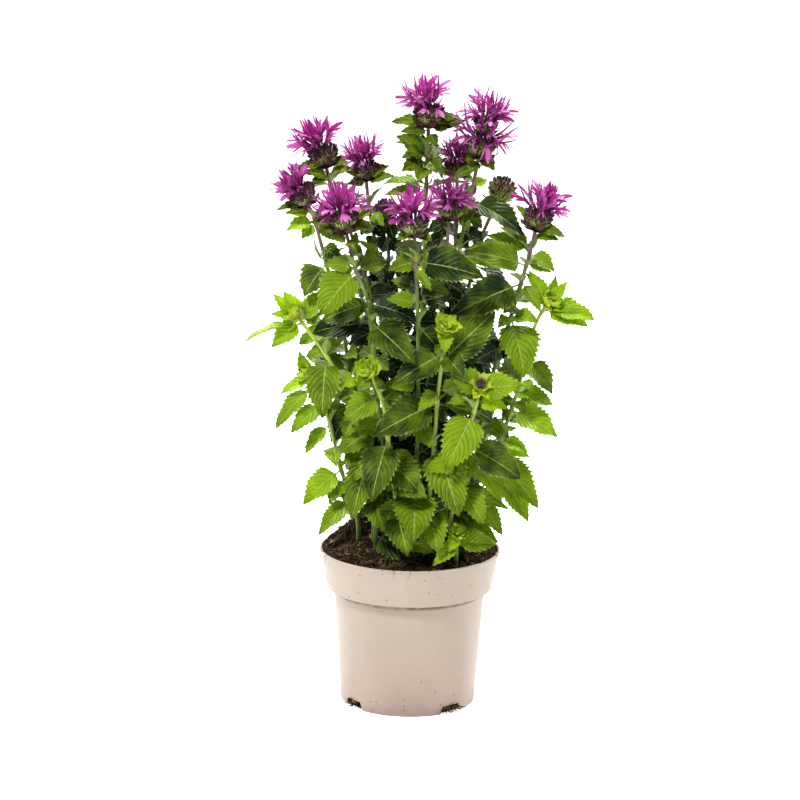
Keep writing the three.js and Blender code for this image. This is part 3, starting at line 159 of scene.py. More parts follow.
# The plant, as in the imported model. A stem's foot is x and y in mm. Its other points and its top are
# each a pixel across, a pixel down and a depth behind the axis in mm. A row of pairs is the row of the
# picture where the leaves leave the stem, and for each leaf its tip, its width in mm, and whether its
# face looks straight up. A pair given by one leaf gets its opposite by rule. Outer leafy bracts are
# given as leaves are. A bud has its size, its lean to the right and to the front, and larger leaves.
STEMS = {
    "stem_1": dict(
        foot=(10, 8), points=[(420, 400, 6), (423, 300, 8), (426, 194, 8)], top=(428.5, 128, 10),
        head=dict(size=1, reach=1.07, lean=(-0.18, -0.05), outer=[(391, 122, 6, 17), (459, 116, 6, 15)]),
        pairs=[
            (157, (396, 142, 4, 32), (442, 178, 26, 20)), (163, (418, 182, -22, 24), (437, 143, 34, 18)),
            (188, (382, 184, 2, 27)), (240, (399, 266, 40, 34)), (310, (455, 330, 48, 36)),
            (380, (400, 405, 66, 36)),
        ],
    ),
    "stem_2": dict(
        foot=(28, 4), points=[(444, 420, 0), (452, 300, -3), (461, 241, -5), (471, 195, -5)],
        top=(478.5, 159, -5),
        head=dict(
            size=1, tiers=2, reach=1.2, lean=(0.07, 0), outer=[(466, 161, -16, 15), (494, 170, -18, 18)],
        ),
        pairs=[
            (201, (523, 235, -18, 36), (462, 219, -22, 16)), (247, (516, 271, -15, 26)),
            (330, (508, 350, 30, 38)), (390, (462, 423, -58, 30)),
        ],
    ),
    "stem_3": dict(
        foot=(-28, 14), points=[(378, 400, 12), (374, 317, 10), (361, 261, 8), (330, 182, 10)],
        top=(326.5, 168, 10),
        head=dict(size=1, reach=1.06, lean=(-0.3, 0.12), outer=[(295, 169, -8, 13), (348, 162, 6, 14)]),
        pairs=[
            (184, (307, 190, 8, 17), (347, 186, 14, 16)), (258, (384, 259, 2, 25), (352, 243, 20, 16)),
            (318, (336, 350, 36, 36)), (385, (330, 410, 40, 36)),
        ],
    ),
    "stem_4": dict(
        foot=(-13, 28), points=[(394, 400, 28), (386, 320, 28), (379, 265, 26), (369, 207, 25)],
        top=(366.3, 181, 25),
        head=dict(size=0.85, reach=1.15, lean=(-0.12, 0.2), outer=[(346, 172, 20, 12), (389, 166, 18, 16)]),
        pairs=[
            (207, (358, 215, 12, 14), (378, 218, 40, 14)), (280, (362, 300, 56, 34)),
            (352, (408, 372, 66, 34)),
        ],
    ),
    "stem_5": dict(
        foot=(-38, -8), points=[(353, 400, -14), (343, 330, -15), (325, 259, -15), (313, 215, -18)],
        top=(308, 205, -21),
        head=dict(size=0.9, lean=(-0.45, 0.03), outer=[(277, 210, -30, 12), (296, 176, -14, 14)]),
        pairs=[
            (222, (287, 230, -22, 22), (331, 213, 6, 18)), (264, (304, 296, -26, 34), (347, 256, 4, 30)),
            (325, (296, 347, -16, 26)), (372, (308, 358, 18, 28)),
        ],
    ),
    "stem_6": dict(
        foot=(-20, -34),
        points=[(378, 400, -44), (371, 323, -50), (366, 294, -53), (356, 271, -56), (348, 240, -60)],
        top=(346.3, 233, -60), head=dict(size=1.05, outer=[(310, 222, -66, 22), (372, 226, -66, 18)]),
        pairs=[
            (271, (320, 316, -78, 43), (386, 262, -30, 26)), (304, (322, 321, -36, 36)),
            (323, (415, 364, -96, 40), (312, 333, -30, 34)), (385, (345, 397, -20, 34)),
        ],
    ),
    "stem_7": dict(
        foot=(4, -40), points=[(418, 420, -50), (418, 326, -60), (415.6, 263, -68)], top=(414.4, 237, -70),
        head=dict(size=1, outer=[(397, 240, -84, 15), (432, 241, -80, 14)]),
        pairs=[
            (262, (483, 277, -78, 42), (389, 270, -78, 22)),
            (268, (431, 291, -88, 13), (401, 262, -50, 12)),
            (326, (386, 330, -44, 30), (440, 352, -50, 30)), (400, (400, 442, -70, 28)),
            (492, (413.5, 543, -100, 46)),
        ],
    ),
    "stem_8": dict(
        foot=(16, -14), points=[(438, 400, -18), (442, 290, -18), (447.6, 239, -20)], top=(448.6, 221, -20),
        head=dict(size=0.85, outer=[(426, 201, -34, 16), (464, 214, -32, 14)]),
        pairs=[
            (282, (430, 316, -46, 18), (462, 296, 6, 26)), (374, (391, 391, -46, 36)),
            (452, (472, 470, -46, 34)),
        ],
    ),
    "stem_9": dict(
        foot=(22, 30), points=[(444, 400, 34), (452, 300, 38), (456, 230, 40)], top=(457, 178, 40),
        head=dict(size=0.85, shade=0.75, outer=[(438, 172, 44, 13), (475, 182, 46, 13)]),
        pairs=[
            (226, (482, 222, 60, 22)), (280, (436, 300, 66, 32)), (340, (488, 350, 70, 36)),
            (410, (430, 430, 84, 36)),
        ],
    ),
    "stem_10": dict(
        foot=(36, -16),
        points=[(482, 420, -14), (497, 358, -12), (510, 320, -10), (522, 280, -10), (530, 252, -10)],
        top=(535.2, 231, -10),
        head=dict(size=0.95, reach=1.08, lean=(0.2, 0.2), outer=[(565, 237, -24, 15), (516, 205, -6, 12)]),
        pairs=[
            (254, (495, 231, -4, 22), (554, 271, -18, 22)), (266, (464, 252, -34, 32), (546, 262, 24, 16)),
            (284, (448, 318, -62, 42)), (318, (524, 378, -44, 45), (505, 296, 26, 18)),
            (452, (502, 503, -42, 28)), (480, (503, 536, -50, 30)),
        ],
    ),
    "stem_11": dict(
        foot=(34, 32), points=[(458, 400, 34), (467, 300, 38), (479, 244, 40)], top=(496, 204, 50),
        head=dict(size=1, closed=True, brown=-0.14, outer=[]),
        pairs=[
            (213, (512, 226, 44, 16), (469, 220, 40, 16)), (246, (512, 245, 30, 20), (462, 236, 52, 22)),
            (264, (512, 301, 18, 32)), (352, (500, 372, 76, 36)),
        ],
    ),
    "stem_12": dict(
        foot=(-4, 42), points=[(396, 400, 38), (389, 300, 32), (388.5, 231, 30)], top=(387, 220, 29),
        head=dict(size=0.75, closed=True, brown=0.8, outer=[]),
        pairs=[
            (232, (367, 222, 26, 20), (410, 232, 36, 20)), (295, (371, 275, 28, 24), (412, 304, 10, 30)),
            (350, (384, 376, 88, 36)),
        ],
    ),
    "shoot_1": dict(
        foot=(-36, -30), points=[(367, 433, -32), (350, 401, -30), (327, 357, -25)], top=(298, 317, -20),
        bud=dict(size=1, lean=[-1, 0.4], tips=[(273, 294, -22), (284, 334, -4)]),
        pairs=[
            (324, (241, 345, -36, 22, True), (325, 290, -10, 26)), (357, (322.5, 418, -56, 40)),
            (433, (340, 453, -40, 30)), (455, (352, 519, -62, 36)), (500, (383, 531, -72, 32)),
        ],
    ),
    "shoot_2": dict(
        foot=(-12, -50), points=[(389, 450, -62), (383, 404, -70)], top=(370, 373, -75),
        bud=dict(size=1, lean=[-0.5, 1], tips=[(357, 389, -92)]),
        pairs=[
            (395, (344, 421, -84, 32)), (438, (371, 502, -92, 40)), (462, (420, 492, -78, 38)),
            (512, (406, 560, -86, 36)),
        ],
    ),
    "shoot_3": dict(
        foot=(18, -50), points=[(436, 420, -62), (437, 403, -64), (442.7, 355, -68)], top=(446, 328, -70),
        bud=dict(size=0.9, lean=[0, 1], tips=[(445, 353, -90)]),
        pairs=[
            (354, (394, 384, -92, 34), (462, 382, -88, 26)), (362, (482, 298, -50, 42)),
            (404, (372, 437, -94, 42)), (444, (459, 517, -98, 46)), (512, (438, 553, -88, 32)),
        ],
    ),
    "shoot_4": dict(
        foot=(40, -44), points=[(466, 450, -66), (474, 412, -76)], top=(480.5, 386, -80),
        head=dict(size=0.46, closed=True, young=True, brown=-0.2, outer=[]),
        bud=dict(size=0.85, open=True, lean=[0, 0.3], tips=[(521, 380, -86), (456, 367, -84)], width=30),
        pairs=[
            (401, (507, 408, -86, 20)), (411, (445.5, 471, -100, 42), (493, 422, -58, 18)),
            (446, (521, 479, -72, 40), (465, 486, -92, 22)), (484, (484, 525, -92, 32)),
        ],
    ),
    "shoot_5": dict(
        foot=(52, 6), points=[(500, 440, 0), (514, 402, 0), (536, 323, 0)], top=(547, 305, 0),
        bud=dict(size=1, lean=[0.4, 0.4], tips=[(567, 282, -4), (556, 276, 8)]),
        pairs=[
            (309, (596, 320, -4, 30), (530, 269, -4, 20)), (360, (552, 394, -14, 28)),
            (410, (557, 437, -18, 34), (502, 421, 18, 18)), (441, (528, 452, -8, 20), (484, 430, 16, 20)),
            (460, (528, 522, -24, 36)),
        ],
    ),
    "shoot_6": dict(
        foot=(-54, -4), points=[(339, 463, -5), (329, 421, -6)], top=(309, 376, -8),
        bud=dict(size=0.8, lean=[-0.8, 0.3], tips=[(280, 394, -10), (299, 352, -4)]),
        pairs=[
            (386, (275, 430, -14, 22)), (405, (291, 433, -28, 24)), (424, (305, 454, -14, 18)),
            (470, (303.5, 504, -20, 32)), (500, (318.5, 535, -34, 24)),
        ],
    ),
    "shoot_7": dict(
        foot=(48, -58), points=[], top=(458, 536, -60),
        bud=dict(size=0.7, lean=[0.2, 0.6], tips=[(447, 543, -72)]),
        pairs=[(542, (495, 545, -58, 24), (433, 566, -86, 18))],
    ),
    "shoot_8": dict(
        foot=(-30, 48), points=[(384, 440, 66), (372, 380, 82)], top=(362, 330, 96),
        bud=dict(size=1, lean=[-0.3, -0.8], tips=[]),
        pairs=[
            (360, (338, 385, 122, 32)), (405, (394, 440, 128, 36)), (445, (346, 470, 112, 38)),
            (480, (390, 510, 118, 36)),
        ],
    ),
    "shoot_9": dict(
        foot=(12, 56), points=[(420, 420, 78), (424, 340, 94)], top=(426, 262, 104),
        bud=dict(size=1, lean=[0.1, -1], tips=[]),
        pairs=[
            (290, (402, 312, 132, 32)), (340, (440, 380, 140, 36)), (390, (396, 420, 130, 38)),
            (440, (432, 482, 130, 38)),
        ],
    ),
    "shoot_10": dict(
        foot=(50, 38), points=[(484, 440, 60), (498, 390, 76)], top=(508, 350, 88),
        bud=dict(size=1, lean=[0.5, -0.6], tips=[]),
        pairs=[
            (380, (530, 412, 112, 32)), (420, (472, 450, 128, 38)), (455, (516, 482, 108, 38)),
            (490, (470, 522, 108, 36)),
        ],
    ),
}

# How light the leaves are that the picture shows, by the pixel of the tip: 0 is the dark blue-green of
# an old leaf in the bush, 0.5 the usual green, and 1 the lime of a young leaf. Others go by rule.
# A dark tone here partly paints the shade that a leaf lies in, and a tone below 0 is painted shade.
TONES = {
    (396, 142): 0.22, (442, 178): 0.2, (418, 182): 0.27, (437, 143): 0.2, (382, 184): 0.4, (399, 266): 0.15,
    (455, 330): 0.1, (523, 235): 0.08, (462, 219): 0.2, (516, 271): 0.8, (508, 350): 0.2, (462, 423): 0.15,
    (307, 190): 0.25, (347, 186): 0.3, (384, 259): 0.5, (352, 243): 0.65, (336, 350): 0.2, (330, 410): 0.3,
    (358, 215): 0.6, (378, 218): 0.1, (362, 300): 0.05, (408, 372): 0.14, (287, 230): 0.7, (331, 213): 0.5,
    (304, 296): 0.25, (347, 256): 0.45, (296, 347): 0.5, (308, 358): 0.3, (320, 316): 0.5, (386, 262): 0.3,
    (322, 321): 0.25, (415, 364): 0.16, (312, 333): 0.05, (345, 397): 0.3, (483, 277): 0.12,
    (389, 270): 0.3, (431, 291): 0.45, (401, 262): 0.45, (386, 330): 0.08, (440, 352): 0.15,
    (400, 442): 0.25, (413.5, 543): 0.42, (430, 316): 0.3, (462, 296): 0.15, (391, 391): 0.15,
    (472, 470): 0.1, (482, 222): 0.75, (436, 300): 0.1, (495, 231): 0.5, (554, 271): 0.45, (464, 252): 0.3,
    (546, 262): 0.5, (448, 318): 0.15, (524, 378): 0.5, (505, 296): 0.12, (502, 503): 0.7, (503, 536): 0.45,
    (512, 226): 0.3, (469, 220): 0.3, (512, 245): 0.9, (462, 236): 0.2, (512, 301): 0.12, (367, 222): 0.8,
    (410, 232): 0.3, (371, 275): 0.12, (412, 304): -0.1, (241, 345): 0.65, (325, 290): 0.55,
    (322.5, 418): 0.3, (340, 453): 0.3, (352, 519): 0.3, (383, 531): 0.3, (344, 421): 0.45, (371, 502): 0.2,
    (420, 492): 0.25, (406, 560): 0.22, (394, 384): 0.12, (462, 382): 0.15, (482, 298): 0.2,
    (372, 437): 0.16, (459, 517): 0.38, (438, 553): 0.45, (507, 408): 0.85, (445.5, 471): 0.64,
    (493, 422): 0.15, (521, 479): 0.2, (465, 486): 0.3, (484, 525): 0.45, (596, 320): 0.7, (530, 269): 0.6,
    (552, 394): 0.35, (557, 437): 0.65, (502, 421): 0.35, (528, 452): 0.85, (484, 430): 0.6,
    (528, 522): 0.6, (275, 430): 0.5, (291, 433): 0.55, (305, 454): 0.6, (303.5, 504): 0.65,
    (318.5, 535): 0.5, (495, 545): 0.5, (433, 566): 0.8, (357, 389): 0.4, (521, 380): 0.62,
    (456, 367): 0.38, (445, 353): 0.8,
}

# The same for the opposites of leaves that the picture shows alone, by the pixel of the shown one's tip.
# These tones, all below 0, are painted shade.
TWIN_TONES = {(322, 321): -0.35, (400, 442): -0.1, (391, 391): -0.2, (472, 470): -0.1}

# Small leaves that only the dressed plant has, which face the picture: the row where they leave the
# stem, and the leaf with its tone.
# A tone below 0 is painted shade.
SMALL_LEAVES = {
    "stem_1": [
        (159, (437, 173, -14, 24), 0.2), (161, (402, 171, -10, 24), 0.25), (158, (397, 136, -8, 30), 0.25),
        (129, (466, 121, 4, 20), 0.2), (131, (401, 132, -6, 16), 0.2), (150, (402, 158, -4, 16), 0.25),
        (189, (384, 195, 6, 14), 0.4), (133, (437, 147, -2, 13), 0.2),
    ],
    "stem_2": [
        (186, (487, 180, 4, 13), 0.9), (232, (484, 243, 10, 22), 0.1), (255, (514, 270, -12, 20), 0.9),
        (168, (452, 178, -10, 12), 0.2), (160, (470, 173, -14, 15), 0.3), (214, (482, 228, 0, 16), 0.3),
    ],
    "stem_3": [
        (176, (303, 173, -8, 16), 0.35), (174, (354, 168, 4, 12), 0.4), (176, (311, 185, -8, 15), 0.3),
    ],
    "stem_4": [
        (214, (384, 226, 8, 16), 0.5), (262, (373, 270, 10, 14), 0.9), (262, (357, 240, -10, 12), 0.6),
        (222, (385, 238, 20, 18), 0.1), (220, (361, 235, 10, 16), 0.2), (178, (394, 176, 12, 15), 0.3),
        (183, (347, 184, 18, 12), 0.3), (209, (358, 219, 14, 14), 0.5), (250, (374, 263, 10, 16), 0.3),
        (234, (370, 248, 14, 14), 0.3),
    ],
    "stem_5": [
        (222, (337, 240, -8, 20), 0.3), (224, (302, 238, -22, 16), 0.6), (212, (286, 213, -26, 15), 0.8),
        (340, (306, 357, -14, 22), 0.5),
    ],
    "stem_6": [
        (241, (359, 243, -72, 20), 0.35), (238, (330, 238, -70, 18), 0.35), (268, (342, 275, -50, 18), 0.4),
        (268, (324, 264, -50, 20), 0.4), (296, (356, 316, -40, 20), 0.1),
    ],
    "stem_8": [
        (236, (426, 246, -8, 18), 0.3), (226, (438, 226, -12, 12), 0.2), (222, (428, 231, -12, 17), 0.2),
    ],
    "stem_9": [
        (200, (440, 214, 52, 18), 0.3), (200, (476, 200, 34, 16), 0.4), (222, (434, 240, 24, 22), 0.1),
        (216, (472, 232, 46, 13), 0.9), (232, (468, 246, 30, 20), 0.0),
    ],
    "stem_10": [
        (251, (487, 235, 0, 20), 0.6), (282, (541, 312, -20, 15), 0.35), (317, (538, 322, -42, 22), 0.6),
        (234, (558, 240, -22, 16), 0.25), (264, (551, 272, -14, 13), 0.5), (317, (498, 328, -40, 16), 0.5),
        (500, (498, 543, -52, 18), 0.5), (488, (510, 510, -46, 18), 0.5), (336, (495, 361, 0, 26), -0.1),
    ],
    "stem_11": [
        (322, (494, 350, 66, 36), -0.1), (330, (470, 362, 74, 34), -0.1), (345, (488, 378, 60, 38), -0.1),
    ],
    "stem_12": [
        (221, (394, 240, 26, 16), 0.1), (262, (380, 308, 62, 38), -0.1), (266, (420, 294, 66, 34), -0.1),
        (292, (404, 332, 70, 36), -0.1), (234, (382, 252, 40, 20), -0.1), (236, (398, 252, 36, 18), 0.0),
    ],
    "shoot_1": [
        (322, (272, 347, -30, 24), 0.8), (318, (271, 314, -26, 14), 0.9), (316, (284, 292, -24, 20), 0.9),
        (326, (321, 313, -14, 15), 0.5), (412, (344, 438, -36, 20), 0.3),
    ],
    "shoot_5": [
        (310, (588, 326, -8, 24), 0.7), (392, (553, 405, -18, 24), 0.5), (454, (538, 508, -30, 36), 0.6),
        (306, (529, 271, -8, 20), 0.7), (446, (530, 457, -10, 18), 0.85), (398, (499, 404, 4, 16), 0.4),
        (400, (525, 413, -8, 13), 0.4),
    ],
    "shoot_6": [
        (478, (329, 504, -26, 20), 0.5), (500, (352, 520, -30, 14), 0.4), (484, (347, 506, -20, 16), 0.4),
    ],
    "shoot_7": [(537, (462, 529, -70, 12), 0.9), (537, (449, 552, -78, 14), 0.9)],
}
SMALL_FACING = np.array([0.0, -0.9, 0.7])

# Dark leaves deep in the bush, where the picture shows no light through it: the row, and the leaf.
# Their tone below 0 is painted shade: dark leaves put where the bush shows a dark gap.
DEEP_LEAVES = {
    "stem_3": [(356, (402, 379, 20, 28))], "stem_4": [(326, (349, 345, 40, 36)), (430, (371, 449, 40, 28))],
    "stem_5": [(408, (331, 442, 4, 26))], "stem_9": [(436, (392, 452, 50, 38)), (318, (410, 340, 60, 34))],
}
DEEP_SHADED_LOOK = dict(chance=0.5, tone=-0.1)

# Geometry: surfaces as rings of points, put together into pieces.


def unit(vectors):
    return vectors / np.linalg.norm(vectors, axis=-1, keepdims=True)


def even_turns(count):
    return 2 * np.pi * np.arange(count) / count


def jitter(most, size=None):
    return draws.uniform(-most, most, size)


def tilted(out, axis, up):
    """The way out turned up towards the axis by an angle, and the way square to it in the same plane."""
    return out * np.cos(up) + axis * np.sin(up), axis * np.cos(up) - out * np.sin(up)


def smooth_step(values, low, high):
    """0 below low and 1 above high, with the cubic 3t^2 - 2t^3 between them."""
    t = np.clip((np.asarray(values, float) - low) / (high - low), 0, 1)
    return t * t * (3 - 2 * t)


def ring_faces(length, corners):
    """Faces over rings of corners, with the first pole before them and the last behind: quads from each
    ring to the next, and a fan of triangles at both ends. The quads of a ring's second half start one
    corner later, so that both faces of a sheet are split alike."""
    row, corner = np.meshgrid(np.arange(length - 1), np.arange(corners), indexing="ij")
    a = (1 + row * corners + corner).ravel()
    b = (1 + row * corners + (corner + 1) % corners).ravel()
    quads = np.stack([a, b, b + corners, a + corners], 1)
    under = corner.ravel() >= corners // 2
    quads[under] = np.roll(quads[under], 1, axis=1)
    around = np.arange(corners)
    following = (around + 1) % corners
    last_ring = 1 + (length - 1) * corners
    foot = np.stack([0 * around, 1 + following, 1 + around], 1)
    top = np.stack([0 * around + last_ring + corners, last_ring + around, last_ring + following], 1)
    return quads, np.concatenate([foot, top])


def skin(rings, finish, place=(0, 0), mark=(0, 0, 0, 0), poles=None):
    """Closed surfaces over rings of points, closed at each end by a pole, which is the middle of the end
    ring unless poles gives both. rings is surfaces x rings x corners x 3, and place (two map values) and
    mark (four values) are as many of their own. A surface that comes out inside out is turned."""
    rings, place, mark = [np.asarray(values, float) for values in (rings, place, mark)]
    count, length, corners = rings.shape[:3]
    place = np.broadcast_to(place, rings.shape[:3] + (2,))
    mark = np.broadcast_to(mark, rings.shape[:3] + (4,))

    def with_poles(values, ends=None):
        first, last = ends if ends is not None else (values[:, 0].mean(1), values[:, -1].mean(1))
        flat = values.reshape(count, length * corners, -1)
        return np.concatenate([first[:, None], flat, last[:, None]], 1)

    points = with_poles(rings, poles)
    quads, tris = ring_faces(length, corners)
    inside_out = signed_volume(points, quads, tris) < 0
    starts = points.shape[1] * np.arange(count)[:, None, None]
    all_quads, all_tris = quads + starts, tris + starts
    for faces in (all_quads, all_tris):
        faces[inside_out] = faces[inside_out][:, :, ::-1]
    return dict(
        points=points.reshape(-1, 3), place=with_poles(place).reshape(-1, 2),
        mark=with_poles(mark).reshape(-1, 4), quads=all_quads.reshape(-1, 4),
        tris=all_tris.reshape(-1, 3), finish=finish,
    )


def signed_volume(points, quads, tris):
    """Six times the volume inside each surface: the sum of a . (b x c) over its triangles."""
    triangles = np.concatenate([quads[:, [0, 1, 2]], quads[:, [0, 2, 3]], tris])
    a, b, c = [points[:, triangles[:, k]] for k in range(3)]
    return np.einsum("nij,nij->n", a, np.cross(b, c))


def tubes(path, across, over, wide, tall, corners, mark, finish, square=2.0, teeth=0.0, sunk=0.0):
    """An oval profile carried along each path: path point + wide r cos(a) across + tall r sin(a) over,
    where r rounds or squares the oval. Teeth lengthen every other corner of the last ring, and the last
    pole is sunk below its ring, as in an open tube. Path, across and over are tubes x rings x 3."""
    path, across, over = [np.asarray(values, float) for values in (path, across, over)]
    angle = even_turns(corners)
    cosine, sine = np.cos(angle), np.sin(angle)
    radius = (np.abs(cosine) ** square + np.abs(sine) ** square) ** (-1 / square)
    wide = np.broadcast_to(wide, path.shape[:2])
    tall = np.broadcast_to(tall, path.shape[:2])
    rings = path[:, :, None] + (wide[..., None] * radius * cosine)[..., None] * across[:, :, None]
    rings += (tall[..., None] * radius * sine)[..., None] * over[:, :, None]
    along = unit(path[:, -1] - path[:, -2])
    rings[:, -1] += (teeth * (np.arange(corners) % 2 == 0))[:, None] * along[:, None]
    poles = (rings[:, 0].mean(1), path[:, -1] - sunk * along)
    share = np.linspace(0, 1, path.shape[1])
    place = np.stack(np.broadcast_arrays(angle / (2 * np.pi), share[:, None]), -1)
    mark = np.asarray(mark, float)
    if mark.ndim == 2:
        mark = mark[:, None, None]
    return skin(rings, finish, place, mark, poles)


def square_to(direction, hint):
    """Two unit vectors square to each direction and to each other, the second towards the hint."""
    over = unit(hint - np.sum(hint * direction, -1, keepdims=True) * direction)
    return np.cross(direction, over), over


def new_object(name, data):
    made = bpy.data.objects.new(name, data)
    bpy.context.scene.collection.objects.link(made)
    return made


def make_mesh(name, parts, finishes):
    """One mesh from parts, each in one of the finishes, with their map coordinates and marks."""
    starts = np.cumsum([0] + [len(part["points"]) for part in parts[:-1]])
    quads = np.concatenate([part["quads"] + start for part, start in zip(parts, starts)])
    tris = np.concatenate([part["tris"] + start for part, start in zip(parts, starts)])
    points, place, mark = [
        np.concatenate([part[key] for part in parts]) for key in ("points", "place", "mark")
    ]
    corners = np.concatenate([quads.ravel(), tris.ravel()]).astype(np.int32)
    loop_start = np.concatenate([4 * np.arange(len(quads)), 4 * len(quads) + 3 * np.arange(len(tris))])
    owner = [
        [finishes.index(part["finish"])] * len(part[kind]) for kind in ("quads", "tris") for part in parts
    ]
    mesh = bpy.data.meshes.new(name)
    mesh.vertices.add(len(points))
    mesh.vertices.foreach_set("co", (points * MM).astype(np.float32).ravel())
    mesh.loops.add(len(corners))
    mesh.loops.foreach_set("vertex_index", corners)
    mesh.polygons.add(len(loop_start))
    mesh.polygons.foreach_set("loop_start", loop_start.astype(np.int32))
    mesh.polygons.foreach_set("material_index", np.concatenate(owner).astype(np.int32))
    mesh.update(calc_edges=True)
    mesh.uv_layers.new(name="place").data.foreach_set("uv", place[corners].astype(np.float32).ravel())
    layer = mesh.attributes.new("mark", "FLOAT_COLOR", "POINT")
    layer.data.foreach_set("color", mark.astype(np.float32).ravel())
    mesh.validate()
    for finish in finishes:
        mesh.materials.append(finish)
    return mesh


def shade(mesh):
    """Smooth, with hard edges where the faces turn sharply."""
    mesh.shade_smooth()
    mesh.set_sharp_from_angle(angle=np.radians(SHARP_EDGE))


def make_piece(name, parts, finishes, replaced=()):
    """A piece that rides on the plant's only body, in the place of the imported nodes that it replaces."""
    mesh = make_mesh(name, parts, finishes)
    shade(mesh)
    piece = new_object(name, mesh)
    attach(piece, "root")
    if replaced:
        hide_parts(*replaced)
    return piece


# The picture's points, and the stems' curves through them.


def picture_axes():
    """The picture's right, up and ahead: the eye looks along +Y, pitched down and rolled."""
    pitch, roll = np.radians(PICTURE["pitch"]), np.radians(PICTURE["roll"])
    ahead = np.array([0, np.cos(pitch), -np.sin(pitch)])
    level = np.array([1.0, 0, 0])
    rise = np.array([0, np.sin(pitch), np.cos(pitch)])
    right = np.cos(roll) * level - np.sin(roll) * rise
    up = np.sin(roll) * level + np.cos(roll) * rise
    return right, up, ahead


RIGHT, UPWARD, AHEAD = picture_axes()
EYE = np.array([0.0, -PICTURE["distance"], PICTURE["height"]])


def from_picture(across, down, back):
    """The point behind a pixel at a depth: the eye plus the pixel's ray, as far as that depth."""
    a, b = across - PICTURE["middle"][0], PICTURE["middle"][1] - down
    ray = AHEAD + RIGHT * a / PICTURE["focal"] + UPWARD * b / PICTURE["focal"]
    return EYE + ray * (back + PICTURE["distance"]) / ray[1]


def picture_row(point):
    """The row of the picture where a point shows."""
    sight = point - EYE
    return PICTURE["middle"][1] - PICTURE["focal"] * (sight @ UPWARD) / (sight @ AHEAD)


def stem_curve(stem):
    """The knots of a stem and its slopes there: upright in the soil, then towards the next but one."""
    x, y = stem["foot"]
    buried = [[x, y, STEM["foot"]], [x, y, STEM["straight_to"]]]
    shown = [from_picture(*point) for point in [*stem["points"], stem["top"]]]
    knots = np.array([*buried, *shown], float)
    following = np.concatenate([knots[1:], knots[-1:]])[2:]
    rises = following - knots[1:-1]
    slopes = np.concatenate([[UP, UP], rises / rises[:, 2:]])
    return knots, slopes


def top_of(curve):
    return curve[0][-1, 2]


def stem_at(curve, heights):
    """Points of a stem at heights: between two knots, the cubic with their places and slopes."""
    knots, slopes = curve
    heights = np.atleast_1d(np.asarray(heights, float))
    index = np.clip(np.searchsorted(knots[:, 2], heights) - 1, 0, len(knots) - 2)
    span = (knots[index + 1, 2] - knots[index, 2])[:, None]
    t = (heights[:, None] - knots[index, 2:]) / span
    points = knots[index] * (2 * t**3 - 3 * t**2 + 1) + slopes[index] * (t**3 - 2 * t**2 + t) * span
    return points + knots[index + 1] * (3 * t**2 - 2 * t**3) + slopes[index + 1] * (t**3 - t**2) * span


def stem_direction(curve, heights):
    """The way a stem heads at heights, from a little below each to a little above it."""
    top = top_of(curve)
    heights = np.atleast_1d(np.asarray(heights, float))
    above = stem_at(curve, np.minimum(heights + STEM["slope_step"], top))
    return unit(above - stem_at(curve, np.maximum(heights - STEM["slope_step"], STEM["foot"])))


def height_at_row(curve, row):
    """The height at which a stem crosses a row of the picture, by halving."""
    low, high = STEM["straight_to"], top_of(curve)
    for _ in range(STEM["halvings"]):
        middle = (low + high) / 2
        if picture_row(stem_at(curve, middle)[0]) > row:
            low = middle
        else:
            high = middle
    return low


# Stems: a square section with rounded corners, thicker where leaves stand.


def stem_part(curve, joints, flowering):
    """A stem along its curve, with rings at and beside its joints. Its marks are brown below a flower,
    the knuckles, and lime up a young shoot."""
    top = top_of(curve)
    heights = np.linspace(STEM["foot"], top, int((top - STEM["foot"]) / STEM["ring_step"]) + 2)
    joints = np.array([joint for joint in joints if joint < top - 1])
    beside = STEM["knuckle_rings"]
    heights = np.unique(np.concatenate([heights, joints, joints - beside, joints + beside]))
    share = np.clip((heights - STEM["straight_to"]) / (top - STEM["straight_to"]), 0, 1)
    half = STEM["foot_half"] + share * (STEM["top_half"] - STEM["foot_half"])
    near = np.exp(-((heights[:, None] - joints) / STEM["knuckle_length"]) ** 2).max(1, initial=0)
    half = half * (1 + STEM["knuckle"] * near)
    along = stem_direction(curve, heights)
    turn = np.radians(STEM["turn"])
    hint = np.array([-np.sin(turn), np.cos(turn), 0.0])
    across, over = square_to(along, np.broadcast_to(hint, along.shape))
    brown = lime = 0 * share
    if flowering:
        brown = smooth_step(heights, top - STEM["browns_from"], top - STEM["browns_to"])
    else:
        lime = smooth_step(share, *STEM["lime_between"])
    mark = np.stack([brown, near, lime, 0 * share + draws.random()], -1)
    return tubes(
        stem_at(curve, heights)[None], across[None], over[None], half[None], half[None], STEM["corners"],
        mark[None, :, None], stem_finish, square=STEM["squareness"],
    )


# Leaves: an arched, folded and quilted sheet with a stalk, a midrib below it, and teeth on its edge.


def half_width_at(share):
    """The outline of a blade, sin(pi t^roundness)^fullness, at shares t of its length."""
    return np.sin(np.pi * np.clip(share, 0, 1) ** LEAF["roundness"]) ** LEAF["fullness"]


def leaf_arc(leaf):
    """The way ahead and the normal of a leaf, and the turn and length of the arc over its chord."""
    chord = leaf["tip"] - leaf["start"]
    straight = np.linalg.norm(chord)
    ahead = chord / straight
    normal = unit(leaf["facing"] - ahead * (leaf["facing"] @ ahead))
    turn = np.radians(leaf.get("bend", LEAF["bend"]))
    return ahead, normal, turn, straight * turn / (2 * np.sin(turn / 2))


